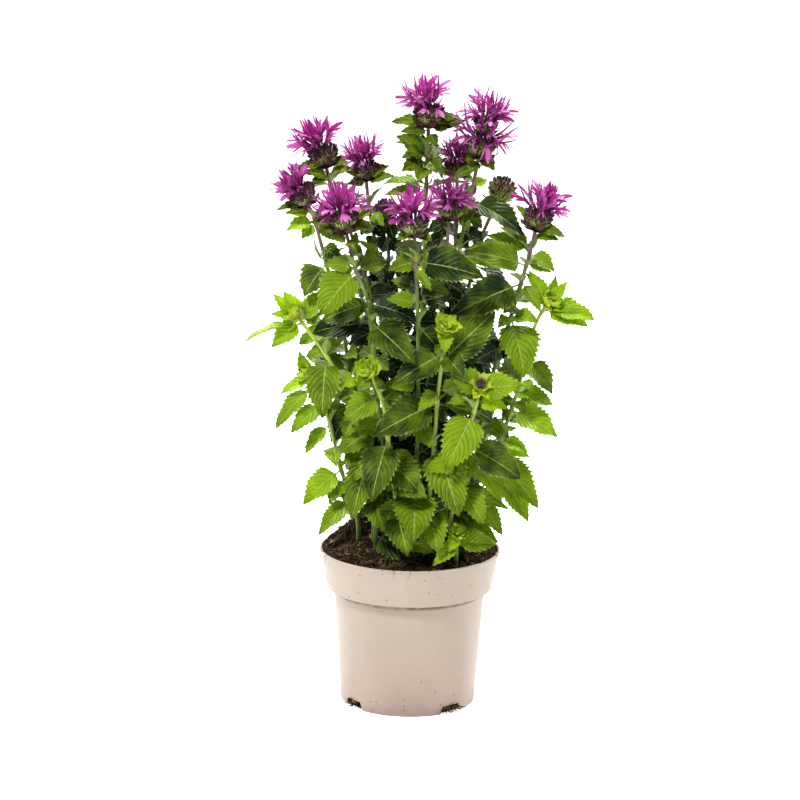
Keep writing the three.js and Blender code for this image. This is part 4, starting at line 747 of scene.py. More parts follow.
def leaf_stations(width, size, blade, stalk):
    """Down a leaf, as columns: the stations v, from -1 on the stalk and from 0 to 1 on the blade, their
    shares of the arc, the saw of the teeth, which climbs slowly and falls fast, and the half widths with
    and without the stalk. The number of teeth comes last."""
    teeth = int(np.clip(round(blade / LEAF["tooth_pitch"]), *LEAF["teeth"]))
    blade_stations = (np.arange(teeth)[:, None] + TOOTH_STATIONS).ravel() / teeth
    v = np.concatenate([STALK_STATIONS, blade_stations, [1]])[:, None]
    phase = np.clip(v, 0, 1) * teeth % 1
    saw = np.where(phase < LEAF["tooth_rise"], phase / LEAF["tooth_rise"], (1 - phase) / LEAF["tooth_fall"])
    saw *= np.clip(v / LEAF["teeth_from"], 0, 1) * np.clip((1 - v) / LEAF["teeth_end"], 0, 1)
    blade_half = half_width_at(v) * width / 2
    half = np.where(v <= 0, LEAF["stalk_half"] * size**0.5, blade_half)
    share = np.where(v < 0, (1 + v) * stalk, stalk + (1 - stalk) * v)
    return v, share, saw, np.maximum(half, LEAF["least_half"]), blade_half, teeth


def leaf_relief(leaf, size, v, u, flesh):
    """How far the face stands out: quilt sin(pi w)^2 between side veins, where w = pairs (v - lean
    |u|^curve) counts them, and a slow wave that grows towards the edges."""
    away = np.abs(u)
    fewest, more = LEAF["vein_pairs"]
    w = (fewest + more * size) * (v - LEAF["vein_lean"] * away ** LEAF["vein_curve"])
    crumple = leaf.get("crumple", 1)
    quilt = crumple * LEAF["quilt"] * size * (np.sin(np.pi * w) ** 2 - 0.5) * (1 - away**4)
    quilt *= smooth_step(away, 0, LEAF["quilt_from_rib"]) * flesh * smooth_step(1 - v, 0, LEAF["quilt_end"])
    ripple = np.sin(2 * np.pi * (LEAF["waves"] * v + leaf["chance"] + LEAF["wave_lag"] * (u > 0)))
    wave = crumple * LEAF["wave"] * size * ripple * away**2 * flesh * (1 - LEAF["wave_taper"] * v)
    return quilt + wave


def leaf_points(leaf, share, offset, rise):
    """At a share s of a leaf's arc the middle line is the chord's start plus ((sin h - sin a) ahead +
    (cos a - cos h) normal) arc / turn, with h half the turn and a = h - turn s. A point lies from there
    offset cos(fold) to the side and the rise along the face."""
    ahead, normal, turn, arc = leaf_arc(leaf)
    angle = turn / 2 - turn * share
    face = normal * np.cos(angle)[..., None] - ahead * np.sin(angle)[..., None]
    points = leaf["start"] + ahead * ((np.sin(turn / 2) - np.sin(angle)) / turn * arc)[..., None]
    points = points + normal * ((np.cos(angle) - np.cos(turn / 2)) / turn * arc)[..., None]
    aside = offset * np.cos(np.radians(LEAF["fold"]))
    return points + np.cross(ahead, normal) * aside[..., None] + face * rise[..., None]


def leaf_part(leaf, finish):
    """One leaf as rings round its two faces: columns at shares u of the half width, over the upper face
    and back below it. A face rises by |offset| sin(fold) and the relief; the lower one is sunk by the
    sheet and the midrib, and the upper one by a groove. The flesh is darker inside the bush: painted
    shade, and the darker tone of old inner leaves."""
    stalk = leaf.get("stalk", LEAF["stalk_share"])
    blade = leaf_arc(leaf)[-1] * (1 - stalk)
    size = leaf["width"] / LEAF["usual_width"]
    v, share, saw, half, blade_half, teeth = leaf_stations(leaf["width"], size, blade, stalk)
    columns = WIDE_COLUMNS if blade > SMALL_LEAF else SMALL_COLUMNS
    u = np.concatenate([-columns[:0:-1], columns])
    below = np.concatenate([np.zeros(len(u)), np.ones(len(u) - 2)])
    u = np.concatenate([u, u[-2:0:-1]])
    away = np.abs(u)
    edge = away == 1
    flesh = smooth_step(v, 0, LEAF["blade_from"])
    share = share + LEAF["tooth_lean"] * saw * edge / teeth * (1 - stalk)
    tooth = flesh * edge * blade_half * LEAF["tooth_depth"] * (saw - LEAF["tooth_middle"])
    offset = u * (half + tooth)
    near_rib = np.exp(-((offset / LEAF["rib_half"]) ** 2))
    closed = 1 - away ** LEAF["closing"]
    rib = LEAF["rib"] * size * (1 - LEAF["rib_taper"] * np.clip(v, 0, 1)) * near_rib
    depth = LEAF["sunk"] + below * closed * (LEAF["sheet"] + rib)
    groove = (1 - below) * LEAF["groove"] * size * near_rib * closed
    folded = np.sqrt(offset**2 + LEAF["fold_rounding"]) * np.sin(np.radians(LEAF["fold"]))
    rise = folded + leaf_relief(leaf, size, v, u, flesh) - depth - groove
    points = leaf_points(leaf, share, offset, rise)
    place = np.stack(np.broadcast_arrays(0.5 + 0.5 * u, np.clip(v, 0, 1)), -1)
    # Painted shade, and the darker tone of old inner leaves.
    tone = leaf["tone"] - SHADED["darker"] * bush_shade(points)
    stalky = 1 - smooth_step(v, -0.05, 0.05)
    mark = np.stack(np.broadcast_arrays(tone, below, stalky, size), -1)
    return skin(points[None], finish, place[None], mark[None])


def from_middle(x, y):
    """Distance from the bush's own upright axis."""
    return np.hypot(x - ENVELOPE["middle"][0], y - ENVELOPE["middle"][1])


def bush_shade(points):
    """How much painted shade a point gets: 1 near the bush's axis and 0 at its outside and among the heads.
    """
    inside = 1 - smooth_step(from_middle(points[..., 0], points[..., 1]), *SHADED["reaches"])
    return inside * (1 - smooth_step(points[..., 2], *SHADED["heights"]))


def outward_at(tip):
    return unit(np.array([tip[0], tip[1], 0.0]))


def facing_shown(tip):
    """A leaf that the picture shows looks up and outwards, and near the front also to the front, least
    so near the top of the plant."""
    start, end = FACING["front_between"]
    front = np.clip((tip[1] - start) / (end - start), 0, 1)
    front *= 1 - FACING["flatter"] * smooth_step(tip[2], *FACING["flatter_between"])
    facing = np.array([0, -FACING["front"] * front, 1 - FACING["less_up"] * front])
    return facing + outward_at(tip) * (FACING["outward"] - FACING["less_outward"] * front)


def opposite(leaf):
    """The other leaf of a pair: half a turn round +Z from the first, at most as long as a twin may be."""
    chord = leaf["tip"] - leaf["start"]
    chord = unit(chord) * min(np.linalg.norm(chord), LEAF["longest_twin"])
    twin = leaf["start"] + chord * [-1, -1, 1]
    facing = UP + FACING["outward"] * outward_at(twin)
    return dict(leaf, tip=twin, facing=facing, known_tone=TWIN_TONES.get(leaf["pixel"]))


def turned_tips(leaf):
    """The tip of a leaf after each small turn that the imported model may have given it, with the shrink:
    the chord's azimuth plus the swing, its elevation plus the tilt, and its length times the shrink."""
    chord = leaf["tip"] - leaf["start"]
    swings, tilts = [np.arange(-most, most + 1, step) for most, step in PACKED["turns"]]
    shrink, swing, tilt = np.meshgrid(PACKED["shrinks"], swings, tilts)
    around = np.arctan2(chord[1], chord[0]) + np.radians(swing.ravel())
    up = np.arctan2(chord[2], np.hypot(chord[0], chord[1])) + np.radians(tilt.ravel())
    ahead = np.stack([np.cos(up) * np.cos(around), np.cos(up) * np.sin(around), np.sin(up)], 1)
    return leaf["start"] + ahead * np.linalg.norm(chord) * shrink.ravel()[:, None], shrink.ravel()


def as_packed(leaf, corners):
    """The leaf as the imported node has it, with its tip at one of the node's corners, or None."""
    tips, shrinks = turned_tips(leaf)
    gaps = np.linalg.norm(tips[:, None] - corners[None], axis=-1).min(1)
    best = gaps.argmin()
    if gaps[best] > PACKED["gap"]:
        return None
    return dict(leaf, tip=tips[best], width=leaf["width"] * shrinks[best])


def start_at(curve, row):
    """Where a leaf leaves a stem that crosses a row of the picture."""
    return stem_at(curve, height_at_row(curve, row))[0]


def node_corners(node):
    """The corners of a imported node, in mm."""
    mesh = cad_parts[node].data
    corners = np.empty(3 * len(mesh.vertices), np.float32)
    mesh.vertices.foreach_get("co", corners)
    return np.unique(corners.reshape(-1, 3), axis=0) / MM


def read_leaf(start, across, down, back, width, level=False):
    """A leaf by the pixel and depth of its tip, with its width, and whether it looks straight up."""
    tip = from_picture(across, down, back)
    facing = UP if level else facing_shown(tip)
    pixel = (across, down)
    return dict(start=start, tip=tip, width=width, facing=facing, pixel=pixel, known_tone=TONES.get(pixel))


def pair_leaves(name, stem, curve):
    """The leaves of a stem's pairs, as packed. One that shows but had no room as a thick plate is added
    as the thin sheet that it is, and so are the small and the deep ones, which only the dressed plant
    has."""
    corners = node_corners(name)
    leaves = []
    for row, *shown in stem["pairs"]:
        pair = [read_leaf(start_at(curve, row), *leaf) for leaf in shown]
        twins = [opposite(pair[0])] if len(pair) == 1 else []
        for leaf in pair + twins:
            leaf["chance"] = draws.random()
            leaf["tone"] = leaf_tone(name, leaf)
        leaves += [as_packed(leaf, corners) or leaf for leaf in pair]
        leaves += [packed for packed in (as_packed(leaf, corners) for leaf in twins) if packed]
    for row, leaf, tone in SMALL_LEAVES.get(name, []):
        small = read_leaf(start_at(curve, row), *leaf)
        leaves.append(dict(small, facing=SMALL_FACING, chance=draws.random(), tone=tone))
    for row, leaf in DEEP_LEAVES.get(name, []):
        leaves.append(dict(read_leaf(start_at(curve, row), *leaf), facing=SMALL_FACING, **DEEP_SHADED_LOOK))
    return leaves


def leaf_tone(name, leaf):
    """Known, or lighter outwards, which is partly painted light, up a young shoot and by chance, and darker
    at the back.
    """
    if leaf.get("known_tone") is not None:
        return leaf["known_tone"]
    rule = TONE_RULE
    x, y, z = leaf["tip"]
    base = rule["stem"]
    if name.startswith("shoot"):
        base = rule["shoot"] + rule["up_shoot"] * smooth_step(z, *rule["up_between"])
    outwards = rule["outwards"] * smooth_step(from_middle(x, y), *rule["outwards_between"])
    outwards = outwards - rule["back"] * smooth_step(y, *rule["back_between"])
    return base + outwards + rule["chance"] * (leaf["chance"] - 0.5)


def towards(start, length, around, up):
    """The level way at a turn round +Z, and the point at a length from the start, risen from that way."""
    flat = np.array([np.cos(around), np.sin(around), 0])
    return flat, start + length * (np.cos(up) * flat + np.sin(up) * UP)


def axil_leaves(curve, joints, young):
    """Two small leaves at each pair, at a drawn turn and opposite each other, rising steeply."""
    leaves = []
    for height in sorted(joints):
        start = stem_at(curve, height + AXIL["above_joint"])[0]
        around = draws.uniform(0, 2 * np.pi)
        for half_turn in (0, np.pi):
            length, up = draws.uniform(*AXIL["lengths"]), draws.uniform(*AXIL["rises"])
            flat, tip = towards(start, length, around + half_turn, up)
            leaves.append(dict(
                start=start, tip=tip, width=length * draws.uniform(*AXIL["widths"]), bend=AXIL["bend"],
                facing=UP + AXIL["outward"] * flat, chance=draws.random(),
                tone=AXIL["young_tone" if young else "tone"] + draws.uniform(*AXIL["tones"]),
            ))
    return leaves


def midline(leaf):
    """Points along the chord of a leaf, beyond its stalk."""
    shares = np.array(FILLING["midline"])[:, None]
    return leaf["start"] * (1 - shares) + leaf["tip"] * shares


def roomiest_pair(name, start, share, taken):
    """Of leaf pairs at several drawn turns, the one that keeps furthest from all that stands already,
    less what it reaches out of the bush."""
    best, best_score = None, -np.inf
    for turn in draws.uniform(0, np.pi, FILLING["tries"]):
        pair = [filling_leaf(name, start, turn + half_turn, share) for half_turn in (0, np.pi)]
        points = np.concatenate([midline(leaf) for leaf in pair])
        room = np.linalg.norm(points[:, None] - taken[None], axis=-1).min(1)
        cost = FILLING["cost_beyond"] * beyond_envelope(pair)
        score = np.minimum(room, FILLING["most_room"]).mean() - cost
        if score > best_score:
            best, best_score = pair, score
    return best


def filling_leaves(name, curve, joints, taken):
    """Pairs between the ones that the picture shows, each in the roomiest place, and the points taken by
    then. Leaves out of the bush or over the bare soil are left out."""
    low, top = FILLING["lowest"], top_of(curve)
    leaves = []
    for height in np.arange(low, top - FILLING["below_top"], FILLING["spacing"]):
        height += jitter(FILLING["jitter"])
        if len(joints) and np.abs(np.array(joints) - height).min() < FILLING["clear"]:
            continue
        pair = roomiest_pair(name, stem_at(curve, height)[0], (height - low) / (top - low), taken)
        kept = [leaf for leaf in pair if fits_bush(leaf)]
        leaves += kept
        taken = np.concatenate([taken, *[midline(leaf) for leaf in kept]])
    return leaves, taken


def filling_leaf(name, start, around, share):
    """A leaf at a turn, shorter and steeper towards the top of its stem."""
    length = draws.uniform(*FILLING["lengths"]) * (1 - FILLING["shorter"] * share**2)
    up = np.radians(draws.uniform(*FILLING["rises"]) + FILLING["rise_more"] * share)
    tip = towards(start, length, around, up)[1]
    chance = draws.random()
    leaf = dict(start=start, tip=tip, width=length * draws.uniform(*FILLING["widths"]), chance=chance)
    in_front = tip[1] < FACING["front_between"][0]
    leaf["facing"] = facing_shown(tip) if in_front else UP + FACING["outward"] * outward_at(tip)
    leaf["tone"] = leaf_tone(name, leaf)
    return leaf


def fits_bush(leaf):
    """Whether a leaf stays in the bush's outline and off the heap of soil that shows at the left."""
    over_heap = leaf["tip"][0] < BARE_SOIL["left_of"] and leaf["tip"][2] < BARE_SOIL["below"]
    return beyond_envelope([leaf]) < FILLING["most_beyond"] and not over_heap


def beyond_envelope(leaves):
    """How far in mm the tips reach out of the bush's outline, which is round and narrows at both ends."""
    tips = np.array([leaf["tip"] for leaf in leaves])
    low, high = ENVELOPE["heights"]
    share = np.clip((tips[:, 2] - low) / (high - low), 0, 1)
    reach = np.interp(share, ENVELOPE["shares"], ENVELOPE["reaches"])
    return np.maximum(from_middle(tips[:, 0], tips[:, 1]) - reach, 0).sum()


# Buds: whorls of small leaves, steeper and shorter towards the middle.


def whorls(base, axis, size, rows, tone):
    """Leaves round an axis: for each row their number, length, width, steepness, start above the base
    and bend, in mm and degrees, turned from row to row by half a step."""
    leaves = []
    for row, (count, length, width, steep, rise, bend) in enumerate(rows):
        for step in range(count):
            turn = 2 * np.pi * (step + row / 2) / count + jitter(WHORL["swing"])
            out = around_axis(axis, np.array([turn]))[0]
            ahead, facing = tilted(out, axis, np.radians(steep + jitter(WHORL["tilt"])))
            start = base + axis * rise * size + out * WHORL["out"] * size
            leaves.append(dict(
                start=start, tip=start + ahead * length * size * draws.uniform(*WHORL["lengths"]),
                width=width * size, facing=facing, bend=bend, stalk=WHORL["stalk"],
                crumple=WHORL["crumple"], chance=draws.random(), tone=tone + jitter(WHORL["tone_jitter"]),
            ))
    return leaves


# The rows of a bud's rosette, from the outside in.
BUD_ROWS = [
    (3, 18, 18, 14, 0, -24), (4, 18, 19, 40, 1, -80), (4, 15, 16, 52, 3, -95), (4, 12, 12, 62, 5, -105),
    (3, 8, 8, 78, 8, -60),
]


def bud_axis(curve, bud):
    """The way a bud looks: along its stem's end, leaned to the right and to the front."""
    right, front = bud["lean"]
    return unit(stem_direction(curve, top_of(curve))[0] + [right, -front, 0])


def bud_leaves(name, curve, bud):
    """The larger leaves round a bud, which the picture shows one by one."""
    corners = node_corners(name)
    start = stem_at(curve, top_of(curve) - BUD["seat"])[0]
    leaves = []
    for tip in bud["tips"]:
        leaf = read_leaf(start, *tip, bud.get("width", BUD["tip_width"]))
        leaf.update(bend=BUD["tip_bend"], chance=draws.random())
        leaf["tone"] = BUD["tip_tone"] if leaf["known_tone"] is None else leaf["known_tone"]
        leaves.append(as_packed(leaf, corners) or leaf)
    return leaves


def bud_part(curve, bud):
    """The rosette of a closed bud, or nothing."""
    if bud is None or bud.get("open"):
        return []
    rosette = whorls(curve[0][-1], bud_axis(curve, bud), bud["size"], BUD_ROWS, BUD["rosette_tone"])
    return [leaf_part(leaf, bud_finish) for leaf in rosette]


# Heads: a ruff of bracts, a ball of packed calyx tubes, and florets that burst out of them.

# Rows of bracts, given as whorls takes them.
RUFF_ROWS = [(5, 21, 16, 26, 0.5, -64), (6, 13, 12, 4, 1.5, -50)]
CLOSED_RUFF_ROWS = [(7, 17, 11, 6, 1, -40), (7, 17, 9, 26, 4, -30), (7, 19, 8, 44, 7, -24)]
YOUNG_RUFF_ROWS = [(6, 40, 30, 8, -2, -14), (7, 30, 24, 34, 1, -36)]

# Rows of calyx tubes: their number, the radius and height of the foot and of the mouth, in mm.
TUBE_ROWS = [
    (26, 8.5, 4, 13.4, 11.5), (25, 8, 6, 15, 15.5), (22, 7, 8, 14.8, 19.5), (16, 5, 9, 11.5, 22.5),
    (10, 3, 10, 6.5, 23.5),
]
CLOSED_TUBE_ROWS = [
    (24, 8, 5, 13, 12), (24, 8, 8, 14, 17.5), (20, 7, 11, 12.4, 22.5), (14, 5, 13, 8.8, 26.5),
    (7, 2, 14, 3.6, 28.5),
]
YOUNG_TUBE_ROWS = [(18, 8, 4, 12.5, 10), (16, 6, 5, 10, 14), (10, 4, 6, 6, 16.5), (5, 1.5, 7, 2.4, 17.6)]
TUBE = dict(
    radius=1.1, teeth=2.5, sunk=2.4, corners=8, swing=0.25, out_jitter=0.7, up_jitter=0.9, browner=0.11,
    stations=(0, 0.4, 0.85, 1), widths=(0.7, 1, 0.95, 1.12),
)
HEAD_KINDS = dict(
    open=(TUBE_ROWS, RUFF_ROWS, HEAD["ball_top"]),
    closed=(CLOSED_TUBE_ROWS, CLOSED_RUFF_ROWS, HEAD["closed_ball_top"]),
    young=(YOUNG_TUBE_ROWS, YOUNG_RUFF_ROWS, HEAD["young_ball_top"]),
)
YOUNG_HEAD_LEAN = np.array([0.0, -1.2, 0.2])

# Rows of florets: their number, rise over the level of the ruff in degrees, and reach in mm.
FLORET_ROWS = [(8, 14, 34), (8, 33, 37), (7, 51, 36), (4, 68, 33), (1, 84, 28)]
TIER_ROWS = [(9, 0, 35), (8, 24, 38)]
FLORET = dict(
    throat=0.46, swing=0.3, tilt=12, lengths=(0.84, 1.1), corners=6, lift=0.04,
    hooks=(0.5, 1.4), hook=0.24, hook_curve=1.3, hook_back=0.08,
    sheet=0.28, twist=0.9, lip_rings=7, lip_back=0.06, lip_lift=(0.02, 0.04), droops=(0.4, 1.5), droop=0.22,
)

# Half widths and heights in mm of a floret's tube with its upper lip, by the share of its reach.
FLORET_STATIONS = np.array([0.24, 0.34, 0.42, 0.46, 0.57, 0.66, 0.76, 0.86, 0.95, 1.0])
FLORET_WIDE = [0.24, 0.46, 0.6, 0.8, 0.95, 1], [0.7, 2.0, 1.7, 1.35, 0.8, 0.2]
FLORET_TALL = [0.24, 0.46, 0.6, 0.8, 1], [0.7, 1.7, 0.9, 0.7, 0.2]

# Lobes of a lower lip: the way they spread in degrees, how far they reach and their width, in shares,
# and their half width in mm along them.
LOBES = [(-46, 0.8, 0.5), (0, 1.0, 1.0), (46, 0.8, 0.5)]
LOBE_WIDE = [0, 0.2, 0.6, 0.88, 1], [1.0, 1.7, 2.7, 2.6, 1.2]
LEAST_LOBE = 0.5

# A pair of stamens: where they run, in shares of the floret's reach, and their anthers' profile.
STAMEN = dict(
    half=0.12, corners=3, aside=0.03, aside_from=0.4, lift=(0.03, 0.24), lift_from=0.5, over=0.6,
    stations=(0.5, 0.65, 0.78, 0.9, 1.0, 1.06),
    anther=(0.294, 0.21), anther_corners=4, anther_stations=(-0.2, 0.0, 0.25, 0.4),
    anther_widths=(0.2, 1, 1, 0.25),
)


def around_axis(axis, turns):
    """Unit vectors square to the axis at each turn round it."""
    side = unit(np.array([1.0, 0, 0]) - axis * axis[0])
    other = np.cross(axis, side)
    return np.cos(turns)[:, None] * side + np.sin(turns)[:, None] * other


def row_turns(count, row, swing):
    """Even turns round an axis, half a step on from row to row, each swung by chance."""
    return 2 * np.pi * (np.arange(count) + 0.5 * row + jitter(swing, count)) / count


def calyx_tubes(base, axis, size, rows, brown):
    """Rows of open tubes that stand outwards round the axis, browner from row to row."""
    parts = []
    share = np.array(TUBE["stations"])[None, :, None]
    half = size * TUBE["radius"] * np.array(TUBE["widths"])
    for row, (count, foot_radius, foot_height, radius, height) in enumerate(rows):
        out = around_axis(axis, row_turns(count, row, TUBE["swing"]))
        radius = radius + jitter(TUBE["out_jitter"], (count, 1))
        height = height + jitter(TUBE["up_jitter"], (count, 1))
        foot = base + size * (foot_radius * out + foot_height * axis)
        mouth = base + size * (radius * out + height * axis)
        path = foot[:, None] * (1 - share) + mouth[:, None] * share
        along = np.broadcast_to(unit(mouth - foot)[:, None], path.shape)
        across, over = square_to(along, np.broadcast_to(axis + 1e-3, path.shape))
        browns = np.full(count, brown + TUBE["browner"] * row)
        mark = np.stack([browns, *np.zeros((2, count)), draws.random(count)], 1)
        parts.append(tubes(
            path, across, over, half, half, TUBE["corners"], mark, tube_finish,
            teeth=TUBE["teeth"] * size, sunk=TUBE["sunk"] * size,
        ))
    return parts


def ball_part(base, axis, size, top):
    """The dark heart under the tubes: a body of revolution with radius reach sin(pi t)^roundness."""
    share = np.linspace(0, BALL["closes_at"], BALL["rings"])
    path = base + axis * (size * share * top - BALL["foot_drop"] * (share == 0))[:, None]
    across = np.broadcast_to(around_axis(axis, np.zeros(1)), path.shape)
    over = np.cross(axis, across)
    radius = size * HEAD["ball_reach"] * np.sin(np.pi * share) ** BALL["roundness"]
    radius = np.maximum(radius, STEM["top_half"] + BALL["over_stem"])
    mark = [[0.5, 0, 0, 0.5]]
    return tubes(path[None], across[None], over[None], radius, radius, BALL["corners"], mark, tube_finish)


def floret_frames(base, axis, size, rows, lean):
    """For every floret of a head: its origin, the way it heads, the way its upper lip stands, and its
    reach, row by row round the axis, with small draws in all of them. The lean, to the right and up,
    turns each floret towards it, and those that would point the other way are left out."""
    frames = []
    bias = np.array([lean[0], 0, lean[1]])
    much = np.linalg.norm(bias)
    for row, (count, rise, reach) in enumerate(rows):
        out = around_axis(axis, row_turns(count, row, FLORET["swing"]))
        ahead, lift = tilted(out, axis, np.radians(rise + jitter(FLORET["tilt"], count))[:, None])
        reaches = size * reach * draws.uniform(*FLORET["lengths"], count)
        kept = ahead @ bias > -much * (1 - much) - 1e-6
        origins = np.broadcast_to(base, out.shape)
        frames.append([values[kept] for values in (origins, unit(ahead + bias), lift, reaches)])
    return [np.concatenate(values) for values in zip(*frames)]


def bent(frames, share, lifted, sideways=0.0):
    """Points along every floret at shares of its reach, lifted and moved sideways by shares of it, with
    the unit vectors across and over the path there."""
    origins, aheads, lifts, reaches = frames
    sides, lifts = square_to(aheads, lifts)
    reach = reaches[:, None, None]
    grid = (len(reaches), len(share))
    along = share[None, :, None] * aheads[:, None]
    raised = np.broadcast_to(lifted, grid)[..., None] * lifts[:, None]
    moved = np.broadcast_to(sideways, grid)[..., None] * sides[:, None]
    path = origins[:, None] + reach * (along + raised + moved)
    direction = unit(np.gradient(path, axis=1))
    across, over = square_to(direction, np.broadcast_to(lifts[:, None], path.shape))
    return path, across, over


def floret_parts(base, axis, size, rows, head):
    """Each floret is a tube that widens to its throat and goes on as a narrow pointed upper lip, with
    a broad lobe and two small ones that droop from the throat as the lower lip, and two stamens."""
    frames = floret_frames(base, axis, size * head.get("reach", 1), rows, head.get("lean", (0, 0)))
    count = len(frames[3])
    chance = draws.random(count)
    # The third mark is the head's painted shade.
    mark = np.stack([chance, 0 * chance, 0 * chance + head.get("shade", 0), chance], 1)
    hooked = draws.uniform(*FLORET["hooks"], (count, 1))
    drooping = draws.uniform(*FLORET["droops"], (count, 1))
    share, throat = FLORET_STATIONS, FLORET["throat"]
    hood = np.clip((share - throat) / (1 - throat), 0, 1)
    wide, tall = [np.interp(share, *profile) * size for profile in (FLORET_WIDE, FLORET_TALL)]
    lifted = FLORET["lift"] * share + hooked * FLORET["hook"] * hood ** FLORET["hook_curve"]
    path, across, over = bent(frames, share - FLORET["hook_back"] * hood, lifted)
    parts = [tubes(path, across, over, wide, tall, FLORET["corners"], mark, petal_finish)]
    twist = FLORET["twist"] * jitter(1, (count, 1, 1))
    parts += [lobe_part(frames, size, mark, drooping, twist, *lobe) for lobe in LOBES]
    return parts + stamen_parts(frames, size, mark)


def lobe_part(frames, size, mark, drooping, twist, spread, reach, breadth):
    """One lobe of every floret's lower lip: a flat strip from the throat, which spreads and droops and
    is turned about its own path by the twist."""
    along = np.linspace(0, 1, FLORET["lip_rings"])
    throat, (lift, more_lift) = FLORET["throat"], FLORET["lip_lift"]
    share = throat - FLORET["lip_back"] + along * (reach - throat)
    aside = np.tan(np.radians(spread)) * (share - throat) * 0.5
    lifted = lift + more_lift * along - drooping * FLORET["droop"] * along**2
    path, across, over = bent(frames, share, lifted, aside)
    turned = across * np.cos(twist) + over * np.sin(twist), over * np.cos(twist) - across * np.sin(twist)
    wide = np.maximum(np.interp(along, *LOBE_WIDE) * size * breadth, LEAST_LOBE)
    sheet = FLORET["sheet"] * size
    return tubes(path, *turned, wide, sheet, FLORET["corners"], mark + [0, 1, 0, 0], petal_finish)


def stamen_parts(frames, size, mark):
    """Two threads from every floret's throat, side by side, each with an anther at its end."""
    parts = []
    lift, more_lift = STAMEN["lift"]
    half = STAMEN["half"] * size
    share = np.array(STAMEN["stations"])
    for aside in (-STAMEN["aside"], STAMEN["aside"]):
        lifted = lift + more_lift * (share - STAMEN["lift_from"]) / STAMEN["over"]
        moved = aside * (share - STAMEN["aside_from"]) / STAMEN["over"]
        path, across, over = bent(frames, share, lifted, moved)
        corners, paler = STAMEN["corners"], mark + [0, 0.5, 0, 0]
        parts.append(tubes(path, across, over, half, half, corners, paler, petal_finish))
        last_step = path[:, -1:] - path[:, -2:-1]
        tip = path[:, -1:] + last_step * np.array(STAMEN["anther_stations"])[None, :, None]
        ends = [np.broadcast_to(values[:, -1:], tip.shape) for values in (across, over)]
        halves = [np.array(STAMEN["anther_widths"]) * most * size for most in STAMEN["anther"]]
        parts.append(tubes(tip, *ends, *halves, STAMEN["anther_corners"], mark, anther_finish))
    return parts


def head_frame(curve, head):
    """Where a head sits on its stem's end, its axis and its size."""
    axis = stem_direction(curve, top_of(curve))[0]
    return curve[0][-1] + axis * HEAD["gap"], axis, head["size"]


def outer_bracts(name, base, axis, size, outer):
    """The leafy bracts below a head that the picture shows one by one."""
    corners = node_corners(name)
    leaves = []
    for bract in outer:
        leaf = read_leaf(base + axis * HEAD["ball_seat"] * size, *bract)
        leaf.update(OUTER_BRACT, facing=UP + OUTER_BRACT_FACING, chance=draws.random())
        leaves.append(as_packed(leaf, corners) or leaf)
    return leaves


def build_heads():
    """Every head, tier by tier: its ball with its ruff, and over it the florets, unless it is closed."""
    for name, stem in STEMS.items():
        if "head" not in stem:
            continue
        head = stem["head"]
        number = name.replace("stem_", "").replace("shoot_", "young_")
        base, axis, size = head_frame(CURVES[name], head)
        tiers = head.get("tiers", 1)
        top_rows = FLORET_ROWS if tiers == 1 else FLORET_ROWS[:-1]
        for tier in range(1, tiers + 1):
            suffix = number if tier == 1 else f"{number}_upper"
            outer = outer_bracts(f"calyx_{suffix}", base, axis, size, head["outer"] if tier == 1 else [])
            build_calyx(suffix, base, axis, size, head, outer)
            if head.get("closed"):
                continue
            base = base + axis * (HEAD["ball_top"] * size + HEAD["gap"])
            parts = floret_parts(base, axis, size, TIER_ROWS if tier < tiers else top_rows, head)
            finishes = [petal_finish, anther_finish]
            make_piece(f"purple_florets_{suffix}", parts, finishes, [f"florets_{suffix}"])
            base = base + axis * (HEAD["core_height"] * size + HEAD["gap"])
            size *= HEAD["upper_tier"]


def build_calyx(suffix, base, axis, size, head, outer):
    """Tubes packed round a heart, over a ruff of cupped bracts. A young head looks to the front, in a
    ring of lime leaves."""
    closed, young = head.get("closed"), head.get("young")
    rows, ruff, top = HEAD_KINDS["young" if young else "closed" if closed else "open"]
    finish, tone = bract_finish, HEAD["ruff_tone"]
    if young:
        axis = unit(axis + YOUNG_HEAD_LEAN)
        finish, tone = bud_finish, HEAD["young_ruff_tone"]
    parts = [ball_part(base, axis, size, top)]
    parts += calyx_tubes(base, axis, size, rows, head.get("brown", HEAD["brown"]))
    parts += [leaf_part(leaf, leaf_finish) for leaf in outer]
    parts += [leaf_part(leaf, finish) for leaf in whorls(base, axis, size, ruff, tone)]
    finishes = [tube_finish, bract_finish, leaf_finish, bud_finish]
    make_piece(f"flower_ball_{suffix}", parts, finishes, [f"calyx_{suffix}"])


def build_leafy_stems():
    """Every stem with its leaves. The ones that the picture shows stand before the first filling leaf is
    drawn, so that each filling leaf keeps clear of them all."""
    heights = np.arange(STEM["straight_to"], ENVELOPE["heights"][1], FILLING["stem_step"])
    taken = [stem_at(curve, heights[heights < top_of(curve)]) for curve in CURVES.values()]
    shown = {name: pair_leaves(name, stem, CURVES[name]) for name, stem in STEMS.items()}
    taken = np.concatenate(taken + [midline(leaf) for leaves in shown.values() for leaf in leaves])
    for name, stem in STEMS.items():
        curve = CURVES[name]
        joints = [height_at_row(curve, row) for row, *_ in stem["pairs"]]
        young = name.startswith("shoot")
        filling, taken = filling_leaves(name, curve, joints, taken)
        leaves = shown[name] + filling
        if "bud" in stem:
            leaves += bud_leaves(name, curve, stem["bud"])
        leaves += axil_leaves(curve, joints, young)
        parts = [stem_part(curve, joints, not young)]
        parts += [leaf_part(leaf, leaf_finish) for leaf in leaves]
        parts += bud_part(curve, stem.get("bud"))
        make_piece(f"leafy_{name}", parts, [stem_finish, leaf_finish, bud_finish], [name])


# Pot: a lathed wall with rounded corners, cut out at the foot.


